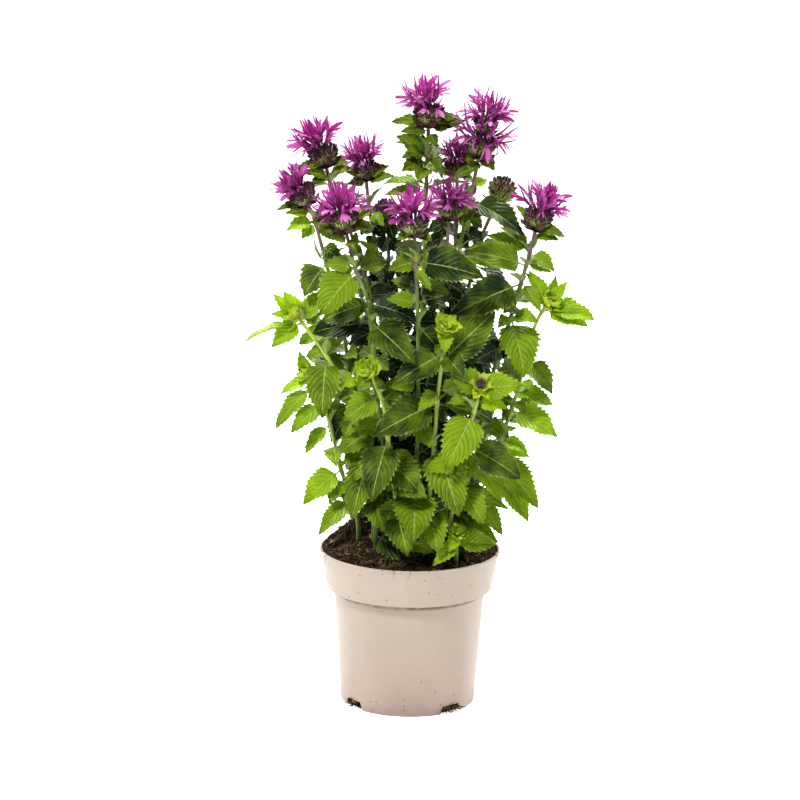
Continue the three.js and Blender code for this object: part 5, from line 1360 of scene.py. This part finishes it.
def pot_profile():
    """Radius and height from the middle of the underside, out, up, in over the lip and down inside."""
    wall, lip_foot = POT["wall"], POT["height"] - POT["lip_height"]
    band_foot = POT["height"] - POT["band_height"]
    lip_wall = POT["rim_radius"] - POT["lip_depth"]
    sharp = [
        (POT["inmost"], 0), (POT["foot_radius"], 0), (POT["body_top_radius"], band_foot),
        (POT["band_foot_radius"], band_foot), (lip_wall, lip_foot), (POT["rim_radius"], lip_foot),
        (POT["rim_radius"], POT["height"]), (lip_wall - wall, POT["height"]), (lip_wall - wall, lip_foot),
        (POT["band_foot_radius"] - wall, band_foot + wall),
        (POT["body_top_radius"] - wall, band_foot + wall),
        (POT["foot_radius"] - wall, POT["floor"]), (POT["inmost"], POT["floor"]),
    ]
    return rounded_corners(np.array(sharp, float), POT["rounding"])


def rounded_corners(points, radius, most_of_side=0.45, steps=4):
    """Each corner between the two ends replaced by a short curve: the parabola through the points at
    most a radius along both sides, which touches them there."""
    t = np.linspace(0, 1, steps)[:, None]
    curves = []
    for before, here, after in zip(points, points[1:], points[2:]):
        reach = [min(radius, most_of_side * np.linalg.norm(other - here)) for other in (before, after)]
        start = here + unit(before - here) * reach[0]
        end = here + unit(after - here) * reach[1]
        curves.append(start * (1 - t) ** 2 + 2 * here * t * (1 - t) + end * t**2)
    return np.concatenate([points[:1], *curves, points[-1:]])


def lathe(radius, height, sides):
    """Rings of a profile's radii and heights turned about the pot's axis, from it in equal steps."""
    turns = even_turns(sides)
    return np.stack(np.broadcast_arrays(radius * np.cos(turns), radius * np.sin(turns), height), -1)


def notch_cutter(angle):
    """A block with the trapezium outline of a drain notch, through the wall at an angle: a rectangle at
    its foot and a smaller one at its top, both as their four corners round their middle."""
    radians = np.radians(angle)
    out = np.array([np.cos(radians), np.sin(radians), 0])
    side = np.cross(UP, out)
    turn = even_turns(4) + np.pi / 4
    aside = np.array([POT["notch_width"], POT["notch_top_width"]]) / 2 * 2**0.5
    deep = POT["notch_depth"] * 2**0.5
    levels = np.array([POT["notch_foot"], POT["notch_height"]])
    rings = POT["foot_radius"] * out + levels[:, None, None] * UP
    rings = rings + (aside[:, None] * np.cos(turn))[..., None] * side + (deep * np.sin(turn))[:, None] * out
    return skin(rings[None], pot_finish)


def build_pot():
    """The lathed wall, from which a block is cut away at each drain notch."""
    profile = pot_profile()
    rings = lathe(profile[:, :1], profile[:, 1:], POT["sides"])
    part = skin(rings[None], pot_finish)
    pot = make_piece("thin_pot", [part], [pot_finish], ["pot"])
    cutters = [make_plain(f"notch_{angle}", notch_cutter(angle)) for angle in POT["notch_angles"]]
    for cutter in cutters:
        cut = pot.modifiers.new("notch", "BOOLEAN")
        cut.operation, cut.object, cut.solver = "DIFFERENCE", cutter, "EXACT"
    bpy.context.view_layer.update()
    pierced = bpy.data.meshes.new_from_object(pot.evaluated_get(bpy.context.evaluated_depsgraph_get()))
    pot.modifiers.clear()
    pot.data = pierced
    shade(pierced)
    for cutter in cutters:
        bpy.data.objects.remove(cutter)


def make_plain(name, part):
    """A bare object of one part, to cut with."""
    mesh = bpy.data.meshes.new(name)
    faces = [*part["quads"].tolist(), *part["tris"].tolist()]
    mesh.from_pydata((part["points"] * MM).tolist(), [], faces)
    return new_object(name, mesh)


# Soil: a heaped top of crumbs and fibres over a plain body that fills the pot.


def soil_height(x, y):
    """The heap (1 - (r / R)^2), a side heap exp(-(d / s)^2), and slow lumps sin(a x + b) sin(c y + d) +
    sin(e x - f y)."""
    away = np.hypot(x, y) / POT["rim_radius"]
    across, back = SOIL["side_heap_at"]
    side = np.hypot(x - across, y - back) / SOIL["side_heap_spread"]
    (a, b), (c, d), (e, f) = SOIL["lump_waves"]
    lumps = np.sin(x * a + b) * np.sin(y * c + d) + np.sin(x * e - y * f)
    heaped = SOIL["heap"] * np.maximum(0, 1 - away**2) + SOIL["side_heap"] * np.exp(-(side**2))
    return SOIL["edge_height"] + heaped + SOIL["roughness"] * lumps


RIDGE_DRAWS = np.random.default_rng(SEED + 1).normal(size=(RIDGES["count"], 4))


def crumbled(x, y):
    """Small lumps: a sum of |sin| ridges in drawn directions with drawn lengths, about 3 to 12 mm."""
    total = np.zeros(np.shape(x))
    for across, back, phase, length in RIDGE_DRAWS:
        ahead = unit(np.array([across, back]))
        pitch = RIDGES["pitch"] + RIDGES["more_pitch"] * abs(length)
        ridge = np.abs(np.sin(pitch * (x * ahead[0] + y * ahead[1]) + RIDGES["phase"] * phase))
        total += ridge / (1 + RIDGES["damping"] * pitch)
    return total / RIDGES["divisor"] - RIDGES["lowered"]


def soil_top(x, y):
    return soil_height(x, y) + SOIL["lump"] * crumbled(x, y)


def build_soil():
    """The top is soil_top over rings and sides; the walls follow the pot's inside."""
    inset = POT["wall"] + SOIL["gap"]
    band_foot = POT["height"] - POT["band_height"] + inset
    walls = np.array([
        (POT["foot_radius"] - inset, SOIL["foot"]), (POT["body_top_radius"] - inset, band_foot),
        (POT["band_foot_radius"] - inset, band_foot),
    ])
    shares = np.linspace(1, 0.01, SOIL["rings"])[:, None]
    radius = (POT["rim_radius"] - POT["lip_depth"] - inset) * shares - SOIL["edge_gap"] * (shares == 1)
    top = lathe(radius, 0, SOIL["sides"])
    top[..., 2] = soil_top(top[..., 0], top[..., 1])
    rings = np.concatenate([lathe(walls[:, :1], walls[:, 1:], SOIL["sides"]), top])
    part = skin(rings[None], soil_finish)
    make_piece("potting_soil", [part], [soil_finish], ["soil"])


def soil_places(count, reach):
    """Places on the soil at drawn turns and evenly drawn areas, up to a reach from the middle."""
    turns = draws.uniform(0, 2 * np.pi, count)
    radius = reach * np.sqrt(draws.random(count))
    x, y = radius * np.cos(turns), radius * np.sin(turns)
    return np.stack([x, y, soil_top(x, y)], 1)


def build_crumbs():
    """Broken bits of bark and peat: rough ellipsoids, each ring's corners drawn in and out."""
    on_top = soil_places(CRUMBS["count"], POT["rim_radius"] - CRUMBS["from_rim"])
    centre = np.concatenate([on_top, notch_places(ROOTS["crumbs"], CRUMBS["buried"])])
    count = len(centre)
    size = np.exp(draws.uniform(*np.log(CRUMBS["sizes"]), count))
    long = unit(draws.normal(size=(count, 3)) * [1, 1, CRUMBS["steepness"]])
    across, over = square_to(long, np.broadcast_to(UP + 0.01, long.shape))
    share = np.linspace(-0.96, 0.96, CRUMBS["rings"])
    length = size * draws.uniform(*CRUMBS["stretch"], count)
    path = centre[:, None] + (share[None] * length[:, None])[..., None] * long[:, None]
    path = path + UP * (size * CRUMBS["raised"])[:, None, None]
    uneven = draws.uniform(*CRUMBS["uneven"], (count, CRUMBS["rings"]))
    radius = size[:, None] * np.sqrt(1 - share**2) * uneven
    mark = np.stack([draws.random(count) ** 2, *np.zeros((2, count)), draws.random(count)], 1)
    ring = [np.broadcast_to(values[:, None], path.shape) for values in (across, over)]
    part = tubes(path, *ring, radius, radius * CRUMBS["flatness"], CRUMBS["corners"], mark, soil_finish)
    make_piece("soil_crumbs", [part], [soil_finish])


def wandering(starts, aheads, lengths, bendiness):
    """Paths whose way ahead turns a little at each step by a drawn amount: sums of unit steps."""
    rings = FIBRES["rings"]
    turns = np.cumsum(draws.normal(size=(len(starts), rings, 3)) * bendiness, axis=1)
    steps = unit(aheads[:, None] + turns) * (lengths[:, None, None] / rings)
    steps[:, 0] = 0
    return starts[:, None] + np.cumsum(steps, axis=1)


def build_fibres():
    """Straw-like fibres and root threads on the soil, over the rim and in the drain notches."""
    count = FIBRES["count"]
    starts = soil_places(count, POT["rim_radius"] - FIBRES["from_rim"])
    aheads = unit(draws.normal(size=(count, 3)) * [1, 1, FIBRES["steepness"]])
    lengths = draws.uniform(*FIBRES["lengths"], count)
    path = wandering(starts - aheads * lengths[:, None] / 2, aheads, lengths, FIBRES["bendiness"])
    floor = soil_top(path[..., 0], path[..., 1])
    path[..., 2] = floor + FIBRES["raised"] + FIBRES["flattened"] * np.abs(path[..., 2] - floor)
    away = np.hypot(path[..., 0], path[..., 1])
    path[..., :2] *= np.minimum(1, (POT["rim_radius"] - FIBRES["inside_rim"]) / away)[..., None]
    part = thread_part(path, draws.uniform(*FIBRES["radii"], (count, 1)))
    make_piece("soil_fibres", [part, rim_fibres(), notch_roots()], [soil_finish])


def thread_part(path, radii):
    """Round threads along paths, thin at both ends, with straw-like marks."""
    direction = unit(np.gradient(path, axis=1))
    across, over = square_to(direction, np.broadcast_to(UP + 0.02, path.shape))
    count, rings = path.shape[:2]
    taper = np.minimum(1, FIBRES["ends"] + FIBRES["taper"] * np.sin(np.pi * np.linspace(0, 1, rings)))
    straw = draws.uniform(*FIBRES["straw"], count)
    mark = np.stack([straw, *np.zeros((2, count)), draws.random(count)], 1)
    return tubes(path, across, over, radii * taper, radii * taper, FIBRES["corners"], mark, soil_finish)


def rim_fibres():
    """Fibres from the soil over the pot's lip and down its outside: the lip's profile, followed by each
    at its own turn and as far as its own drop."""
    turns = np.radians(RIM_FIBRES["turns"])
    count = len(turns)
    drop = draws.uniform(*RIM_FIBRES["drop"], count)[:, None]
    radius = POT["rim_radius"] + np.array(RIM_FIBRES["from_rim"])
    rise = np.array(RIM_FIBRES["over_rim"]) - [0, 0, 0, 0, 0, 1] * drop
    sway = draws.normal(size=(count, len(radius))) * RIM_FIBRES["sway"]
    swing = turns[:, None] + np.cumsum(sway, axis=1)
    path = np.stack([radius * np.cos(swing), radius * np.sin(swing), POT["height"] + rise], -1)
    return thread_part(path, np.full((count, 1), RIM_FIBRES["radius"]))


def notch_places(each, buried):
    """Drawn places in the drain notches, so far in from the outside of the foot."""
    count = each * len(POT["notch_angles"])
    middle = np.radians(np.repeat(POT["notch_angles"], each))
    turns = middle + jitter(0.5, count) * POT["notch_top_width"] / POT["foot_radius"]
    out = np.stack([np.cos(turns), np.sin(turns), 0 * turns], 1)
    lowest, highest = ROOTS["above_floor"], POT["notch_height"] - ROOTS["below_notch_top"]
    return out * (POT["foot_radius"] - buried) + UP * draws.uniform(lowest, highest, count)[:, None]


def notch_roots():
    """Short roots that stand out of the soil in the drain notches and hang to the floor."""
    starts = notch_places(ROOTS["each"], ROOTS["buried"])
    count = len(starts)
    spread = draws.normal(size=(count, 3)) * ROOTS["spread"]
    aheads = unit(unit(starts * [1, 1, 0]) + spread - ROOTS["fall"] * UP)
    path = wandering(starts, aheads, draws.uniform(*ROOTS["lengths"], count), ROOTS["bendiness"])
    path[..., 2] = np.maximum(path[..., 2], ROOTS["lowest"])
    return thread_part(path, draws.uniform(*ROOTS["radii"], (count, 1)))


# Finishes: procedural, on the pieces' own map coordinates and marks, or on Object coordinates.


def colour(code):
    """Linear red, green, blue and alpha of a colour written as six hex digits."""
    values = np.array([int(code[k:k + 2], 16) for k in (0, 2, 4)]) / 255
    return (*np.where(values <= 0.04045, values / 12.92, ((values + 0.055) / 1.055) ** 2.4), 1.0)


def new_finish(name):
    """An empty material and its nodes."""
    finish = bpy.data.materials.new(name)
    finish.use_nodes = True
    finish.node_tree.nodes.clear()
    return finish, finish.node_tree


def plug(tree, inputs, values):
    """Values or sockets into the inputs of a node, by name or number."""
    for key, value in values.items():
        if isinstance(value, bpy.types.NodeSocket):
            tree.links.new(value, inputs[key])
        else:
            inputs[key].default_value = value


def node(tree, kind, inputs=(), **settings):
    made = tree.nodes.new("ShaderNode" + kind)
    for key, value in settings.items():
        setattr(made, key, value)
    plug(tree, made.inputs, dict(inputs))
    return made


def maths(tree, operation, *values):
    return node(tree, "Math", dict(enumerate(values)), operation=operation).outputs[0]


def times(tree, first, second):
    return maths(tree, "MULTIPLY", first, second)


def line(tree, value, slope, start):
    return maths(tree, "MULTIPLY_ADD", value, slope, start)


def mixed(tree, factor, first, second):
    return node(tree, "Mix", {0: factor, 6: first, 7: second}, data_type="RGBA").outputs[2]


def ranged(tree, value, low, high, to_low=0.0, to_high=1.0):
    inputs = {"Value": value, "From Min": low, "From Max": high, "To Min": to_low, "To Max": to_high}
    return node(tree, "MapRange", inputs, interpolation_type="SMOOTHSTEP").outputs[0]


def noise(tree, place, scale, detail=2.0):
    return node(tree, "TexNoise", {"Vector": place, "Scale": scale, "Detail": detail}).outputs[0]


def scaled(tree, place, size):
    return node(tree, "Mapping", {"Vector": place, "Scale": size}).outputs[0]


def new_group(name, inputs, outputs):
    """An empty node group, with its input and output sockets by name."""
    group = bpy.data.node_groups.new(name, "ShaderNodeTree")
    for side, sockets in (("INPUT", inputs), ("OUTPUT", outputs)):
        for label, kind in sockets.items():
            group.interface.new_socket(label, in_out=side, socket_type="NodeSocket" + kind)
    return group, group.nodes.new("NodeGroupInput").outputs, group.nodes.new("NodeGroupOutput").inputs


def place_group(tree, group, inputs):
    return node(tree, "Group", inputs, node_tree=group).outputs


def build_veins():
    """A leaf's midrib, its side veins where pairs (v - lean |u|^curve) is whole, and the net between."""
    group, given, result = new_group(
        "leaf_veins", {"Place": "Vector", "Pairs": "Float", "Lean": "Float", "Curve": "Float"},
        {"Midrib": "Float", "Veins": "Float", "Rim": "Float", "Relief": "Float"},
    )
    parts = node(group, "SeparateXYZ", {0: given["Place"]}).outputs
    away = maths(group, "ABSOLUTE", line(group, parts[0], 2.0, -1.0))
    back = times(group, maths(group, "POWER", away, given["Curve"]), given["Lean"])
    count = times(group, maths(group, "SUBTRACT", parts[1], back), given["Pairs"])
    wobble = line(group, noise(group, given["Place"], 9.0), 0.3, -0.15)
    part = maths(group, "FRACT", maths(group, "ADD", count, wobble))
    off = maths(group, "SUBTRACT", 0.5, maths(group, "ABSOLUTE", maths(group, "SUBTRACT", part, 0.5)))
    veins = ranged(group, off, 0.0, 0.11, 1.0, 0.0)
    midrib = ranged(group, away, 0.01, 0.05, 1.0, 0.0)
    sag = line(group, off, -2.0, 1.0)
    mounds = maths(group, "SUBTRACT", 1.0, times(group, sag, sag))
    net = noise(group, scaled(group, given["Place"], (24, 44, 1)), 1.0, 1.0)
    uneven = line(group, noise(group, given["Place"], 5.0), 1.2, 0.3)
    relief = line(group, net, 0.5, times(group, mounds, uneven))
    # The band along the edge that takes a painted backlit highlight.
    rim = ranged(group, away, 0.92, 0.98)
    plug(group, result, {"Midrib": midrib, "Veins": veins, "Rim": rim, "Relief": relief})
    return group


def build_mottle():
    """Broad patches and fine grain, both from 0 to 1, for any place and scale."""
    group, given, result = new_group(
        "mottle", {"Place": "Vector", "Scale": "Float"}, {"Patches": "Float", "Grain": "Float"}
    )
    patches = noise(group, given["Place"], given["Scale"], 3.0)
    grain = noise(group, given["Place"], times(group, given["Scale"], 7.0), 2.0)
    plug(group, result, {"Patches": patches, "Grain": grain})
    return group


def own_places(tree):
    """The piece's own map coordinates, its marks one by one, and its Object coordinates."""
    marks = node(tree, "Attribute", attribute_name="mark")
    split = node(tree, "SeparateColor", {0: marks.outputs["Color"]}).outputs
    texture = node(tree, "TexCoord").outputs
    return texture["UV"], (*split, marks.outputs["Alpha"]), texture["Object"]


def finished(tree, surface, height, strength, distance, see_through=None, shine=0.4, fuzz=0.0):
    """The shader: a Principled surface with bump up to a distance in mm, mixed with light through it
    where it is thin."""
    relief = {"Height": height, "Strength": strength, "Distance": distance * MM}
    bump = node(tree, "Bump", relief).outputs[0]
    skin_shader = node(tree, "BsdfPrincipled", {**surface, "Normal": bump, "Specular IOR Level": shine})
    if fuzz:
        skin_shader.inputs["Sheen Weight"].default_value = fuzz
    output = skin_shader.outputs[0]
    if see_through:
        tint, share = see_through
        through = node(tree, "BsdfTranslucent", {"Color": tint, "Normal": bump}).outputs[0]
        output = node(tree, "MixShader", {0: share, 1: output, 2: through}).outputs[0]
    node(tree, "OutputMaterial", {"Surface": output})


def leaf_like(name, dark, middle, light, rib, under, glow, through, shine):
    """Leaf flesh from a dark through a middle to a light tone, with painted shade in the creases of the
    side veins, a lighter rim that is a painted backlit highlight, a pale rib and a paler underside, and
    light of the glow's colour through it."""
    finish, tree = new_finish(name)
    place, (tone, below, stalky, size), spot = own_places(tree)
    fewest, more = LEAF["vein_pairs"]
    pairs = line(tree, size, more, fewest)
    given = {"Place": place, "Pairs": pairs, "Lean": LEAF["vein_lean"], "Curve": LEAF["vein_curve"]}
    veins = place_group(tree, VEINS, given)
    cloud = place_group(tree, MOTTLE, {"Place": spot, "Scale": 45.0})
    lightness = maths(tree, "ADD", tone, line(tree, cloud["Patches"], 0.7, -0.35))
    lower = mixed(tree, ranged(tree, lightness, 0.0, 0.5), colour(dark), colour(middle))
    flesh = mixed(tree, ranged(tree, lightness, 0.45, 1.0), lower, colour(light))
    # Painted shade: the creases along the side veins are darkened towards the dark colour.
    crease = mixed(tree, 0.5, flesh, colour(dark))
    vein_shaded = mixed(tree, times(tree, veins["Veins"], 0.5), flesh, crease)
    # Painted highlight: a lighter rim, as backlight would light the edge.
    rim_lit = mixed(tree, times(tree, veins["Rim"], 0.3), vein_shaded, colour(rib))
    ribbed = mixed(tree, times(tree, veins["Midrib"], 0.6), rim_lit, colour(rib))
    pale = mixed(tree, times(tree, veins["Veins"], 0.6), colour(under), colour(rib))
    turned = mixed(tree, times(tree, below, 0.65), ribbed, pale)
    skin_colour = mixed(tree, stalky, turned, colour(rib))
    rough = line(tree, below, 0.25, line(tree, cloud["Grain"], 0.2, 0.25))
    lit = mixed(tree, ranged(tree, lightness, 0.1, 1.0, 0.0, 0.6), skin_colour, colour(glow))
    share = ranged(tree, lightness, 0.0, 1.0, 0.15 * through, through)
    surface = {"Base Color": skin_colour, "Roughness": rough}
    height = times(tree, veins["Relief"], size)
    finished(tree, surface, height, 1.0, 0.9, (lit, share), shine)
    return finish


def stem_like():
    """Green stem that turns purple-brown below a flower by its first mark, and lime by its third."""
    finish, tree = new_finish("green_and_brown_stem")
    _, (brown, _, lime, _), spot = own_places(tree)
    cloud = place_group(tree, MOTTLE, {"Place": scaled(tree, spot, (1, 1, 0.15)), "Scale": 220.0})
    old = mixed(tree, cloud["Patches"], colour("5f8020"), colour("93b03c"))
    green = mixed(tree, times(tree, lime, 0.8), old, colour("c4d860"))
    purple = mixed(tree, cloud["Patches"], colour("664a4a"), colour("a08a80"))
    blend = line(tree, cloud["Grain"], 0.25, maths(tree, "SUBTRACT", brown, 0.12))
    skin_colour = mixed(tree, blend, green, purple)
    rough = line(tree, cloud["Grain"], 0.2, 0.4)
    surface = {"Base Color": skin_colour, "Roughness": rough}
    finished(tree, surface, cloud["Grain"], 0.3, 0.3, shine=0.4, fuzz=0.25)
    return finish


def petal_like():
    """Magenta petals, paler on the lips that droop, with painted shade towards each floret's foot and
    over a head in shade, streaked along their length.
    """
    finish, tree = new_finish("magenta_petal")
    place, (tone, lip, shade, _), _ = own_places(tree)
    parts = node(tree, "SeparateXYZ", {0: place}).outputs
    streaks = noise(tree, scaled(tree, place, (22, 1.5, 1)), 1.0)
    deep = mixed(tree, tone, colour("961f7d"), colour("d95cc6"))
    pale = mixed(tree, tone, colour("c854b4"), colour("f6b0ea"))
    body = mixed(tree, times(tree, lip, 0.8), deep, pale)
    # Painted shade: darker towards the foot of each tube, lobe and stamen.
    foot = mixed(tree, ranged(tree, parts[1], 0.0, 0.3, 0.75, 0.0), body, colour("5e1648"))
    streaked = mixed(tree, ranged(tree, streaks, 0.42, 0.75, 0.0, 0.5), foot, colour("86166e"))
    # Painted shade: a head's shade mark darkens all its petals.
    skin_colour = mixed(tree, times(tree, shade, 0.8), streaked, colour("4a0e3c"))
    surface = {"Base Color": skin_colour, "Roughness": 0.42}
    lit = mixed(tree, 0.5, skin_colour, colour("f05cd8"))
    finished(tree, surface, streaks, 0.3, 0.2, (lit, 0.45), 0.4, 0.3)
    return finish


def tube_like():
    """Calyx tubes: yellow-green and hairy below, purple-brown at the teeth."""
    finish, tree = new_finish("calyx_tube")
    place, (brown, _, _, chance), spot = own_places(tree)
    parts = node(tree, "SeparateXYZ", {0: place}).outputs
    speckle = noise(tree, spot, 900.0)
    green = mixed(tree, ranged(tree, speckle, 0.45, 0.6), colour("8c9a3c"), colour("d6dc90"))
    level = maths(tree, "ADD", parts[1], line(tree, chance, 0.25, brown))
    maroon = mixed(tree, chance, colour("401730"), colour("6e2450"))
    skin_colour = mixed(tree, ranged(tree, level, 0.86, 1.14), green, maroon)
    surface = {"Base Color": skin_colour, "Roughness": 0.7}
    finished(tree, surface, speckle, 0.5, 0.3, shine=0.25, fuzz=0.4)
    return finish


def anther_like():
    """Dusty grey anthers."""
    finish, tree = new_finish("grey_anther")
    *_, spot = own_places(tree)
    dust = noise(tree, spot, 1500.0)
    skin_colour = mixed(tree, dust, colour("3e3a42"), colour("9aa08c"))
    finished(tree, {"Base Color": skin_colour, "Roughness": 0.8}, dust, 0.4, 0.1, shine=0.2)
    return finish


def soil_like():
    """Dark peat with lighter bits; the first mark turns a crumb or fibre straw-coloured."""
    finish, tree = new_finish("peat_and_bark")
    _, (straw, _, _, chance), spot = own_places(tree)
    cloud = place_group(tree, MOTTLE, {"Place": spot, "Scale": 160.0})
    dark = mixed(tree, ranged(tree, cloud["Patches"], 0.35, 0.7), colour("0c0603"), colour("36241a"))
    bits = mixed(tree, ranged(tree, cloud["Grain"], 0.55, 0.75), dark, colour("8a6a45"))
    strawy = mixed(tree, chance, colour("4a3422"), colour("d0b080"))
    skin_colour = mixed(tree, times(tree, straw, 0.8), bits, strawy)
    finished(tree, {"Base Color": skin_colour, "Roughness": 0.92}, cloud["Grain"], 0.8, 1.2, shine=0.2)
    return finish


def pot_like():
    """Thin beige plastic: a slight blush near the foot, fine scratches, dirt and painted shadow in the
    crease below the band, and specks of soil, most of them at the foot, below the band and at the rim.
    Heights are in metres, and each range is where an effect begins and ends."""
    finish, tree = new_finish("beige_plastic")
    *_, spot = own_places(tree)
    up = node(tree, "SeparateXYZ", {0: spot}).outputs[2]
    top, band = POT["height"] * MM, (POT["height"] - POT["band_height"]) * MM
    cloud = place_group(tree, MOTTLE, {"Place": spot, "Scale": 14.0})
    beige = mixed(tree, cloud["Patches"], colour("bcad9e"), colour("c6b8aa"))
    blush = mixed(tree, ranged(tree, up, 0.015, 0.09, 0.4, 0.0), beige, colour("c8b0a6"))
    scratch = noise(tree, scaled(tree, spot, (300, 300, 14)), 1.0, 1.0)
    scuffed = mixed(tree, ranged(tree, scratch, 0.7, 0.76, 0.0, 0.07), blush, colour("8f7a69"))
    # Just under the band, in patches: dirt, and painted shadow under the band's overhang.
    crease_foot = ranged(tree, up, band - 0.0065, band - 0.0035)
    crease = times(tree, crease_foot, ranged(tree, up, band + 0.0008, band + 0.0002))
    grime_and_shadow = ranged(tree, cloud["Grain"], 0.35, 0.65, 0.3, 0.7)
    grimed_and_shadowed = mixed(tree, times(tree, crease, grime_and_shadow), scuffed, colour("5a2f24"))
    dots = node(tree, "TexVoronoi", {"Vector": spot, "Scale": 210.0}).outputs
    near = ranged(tree, dots["Distance"], 0.08, 0.2, 1.0, 0.0)
    kept = node(tree, "SeparateColor", {0: dots["Color"]}).outputs[0]
    foot = ranged(tree, up, 0.002, 0.05, 0.45, 0.0)
    rim = ranged(tree, up, top - 0.034, top, 0.0, 0.12)
    below_band = ranged(tree, up, band - 0.011, band - 0.001, 0.0, 0.3)
    share = maths(tree, "ADD", maths(tree, "ADD", foot, maths(tree, "ADD", rim, below_band)), 0.012)
    specks = times(tree, near, maths(tree, "LESS_THAN", kept, share))
    skin_colour = mixed(tree, times(tree, specks, 0.85), grimed_and_shadowed, colour("3b2719"))
    rough = line(tree, cloud["Grain"], 0.12, 0.33)
    height = line(tree, specks, 1.5, times(tree, cloud["Grain"], 0.1))
    finished(tree, {"Base Color": skin_colour, "Roughness": rough}, height, 0.5, 0.3, shine=0.35)
    return finish


def floor_like():
    """A pale floor, which glows where the camera sees it, so that it is as white as the world."""
    finish, tree = new_finish("pale_floor")
    *_, spot = own_places(tree)
    tint = mixed(tree, noise(tree, spot, 3.0), (0.9, 0.9, 0.9, 1), (0.93, 0.93, 0.93, 1))
    shader = node(tree, "BsdfPrincipled", {"Base Color": tint, "Roughness": 0.9, "Specular IOR Level": 0.1})
    seen = node(tree, "LightPath").outputs["Is Camera Ray"]
    glow = node(tree, "Emission", {"Color": (1, 1, 1, 1), "Strength": STUDIO["floor_glow"]}).outputs[0]
    bright = node(tree, "AddShader", {0: shader.outputs[0], 1: glow}).outputs[0]
    output = node(tree, "MixShader", {0: seen, 1: shader.outputs[0], 2: bright}).outputs[0]
    node(tree, "OutputMaterial", {"Surface": output})
    return finish


# Studio: a pale floor, soft light from all round, and the picture's camera.

# The world's strength in front and behind, and what the camera sees of it besides; sizes in metres.
STUDIO = dict(
    world=(0.04, 0.45), world_between=(-0.6, 0.6), seen=1.1, floor_size=14, floor_glow=1.0,
    aim=(0, 0, 0.36), exposure=0.25, gamma=0.88,
)

# Square lights: their place and side in metres, and their power in watts.
LIGHTS = [
    ("key_light", (-0.9, -1.5, 2.4), 0.45, 50), ("fill_light", (1.9, -1.2, 1.4), 0.8, 9),
    ("left_back_light", (-1.2, 1.5, 2.5), 0.8, 80), ("right_back_light", (1.2, 1.5, 2.5), 0.8, 80),
]


def build_floor():
    mesh = bpy.data.meshes.new("pale_floor")
    reach = STUDIO["floor_size"] / 2
    corners = [(-reach, -reach, 0), (reach, -reach, 0), (reach, reach, 0), (-reach, reach, 0)]
    mesh.from_pydata(corners, [], [(0, 1, 2, 3)])
    mesh.materials.append(floor_like())
    new_object("pale_floor", mesh)


def build_world():
    """White light, stronger from behind, and bright white where the camera sees it."""
    world = bpy.data.worlds.new("white_studio")
    world.use_nodes = True
    tree = world.node_tree
    back = node(tree, "SeparateXYZ", {0: node(tree, "TexCoord").outputs["Generated"]}).outputs[1]
    light = ranged(tree, back, *STUDIO["world_between"], *STUDIO["world"])
    seen = node(tree, "LightPath").outputs["Is Camera Ray"]
    strength = maths(tree, "ADD", light, times(tree, seen, STUDIO["seen"]))
    plug(tree, tree.nodes["Background"].inputs, {"Strength": strength, "Color": (1, 1, 1, 1)})
    bpy.context.scene.world = world


def build_lights():
    """The soft lights, turned to the plant's middle, and the picture's exposure."""
    for name, place, size, power in LIGHTS:
        light = bpy.data.lights.new(name, "AREA")
        light.size, light.energy = size, power
        aim = np.array(STUDIO["aim"]) - np.array(place)
        new_object(name, light).matrix_world = facing_matrix(np.array(place), aim)
    view = bpy.context.scene.view_settings
    view.view_transform, view.exposure, view.gamma = "Standard", STUDIO["exposure"], STUDIO["gamma"]


def facing_matrix(place, ahead, right=None):
    """The matrix of a light or camera at a place, which looks along its own -Z."""
    back = -unit(ahead)
    right = unit(np.cross(UP, back)) if right is None else right
    matrix = np.eye(4)
    matrix[:3] = np.stack([right, np.cross(back, right), back, place], 1)
    return Matrix(matrix.tolist())


def build_camera():
    """The picture's camera: its eye, axes and focal length, in metres."""
    lens = bpy.data.cameras.new("picture_camera")
    lens.sensor_width = SENSOR_WIDTH
    lens.lens = PICTURE["focal"] * SENSOR_WIDTH / PICTURE["size"]
    lens.shift_x = (PICTURE["size"] / 2 - PICTURE["middle"][0]) / PICTURE["size"]
    lens.clip_end = 50
    camera = new_object("picture_camera", lens)
    camera.matrix_world = facing_matrix(EYE * MM, AHEAD, RIGHT)
    bpy.context.scene.camera = camera


# The whole scene.

VEINS = build_veins()
MOTTLE = build_mottle()
leaf_finish = leaf_like(
    "leaf_green", dark="1a340c", middle="94b422", light="c8e82e", rib="dce48c", under="b8c888",
    glow="dcf424", through=0.45, shine=0.28,
)
bract_finish = leaf_like(
    "purple_bract", dark="2c1420", middle="5a3238", light="8a7450", rib="9a9a62", under="6d4a4a",
    glow="8f3a5a", through=0.3, shine=0.35,
)
bud_finish = leaf_like(
    "lime_bud_leaf", dark="98bc14", middle="d4ee28", light="f0fa68", rib="f2f8a0", under="dff050",
    glow="ecff38", through=0.35, shine=0.4,
)
stem_finish = stem_like()
petal_finish = petal_like()
tube_finish = tube_like()
anther_finish = anther_like()
soil_finish = soil_like()
pot_finish = pot_like()

CURVES = {name: stem_curve(stem) for name, stem in STEMS.items()}
build_camera()
build_floor()
build_world()
build_lights()
build_pot()
build_soil()
build_crumbs()
build_fibres()
build_leafy_stems()
build_heads()
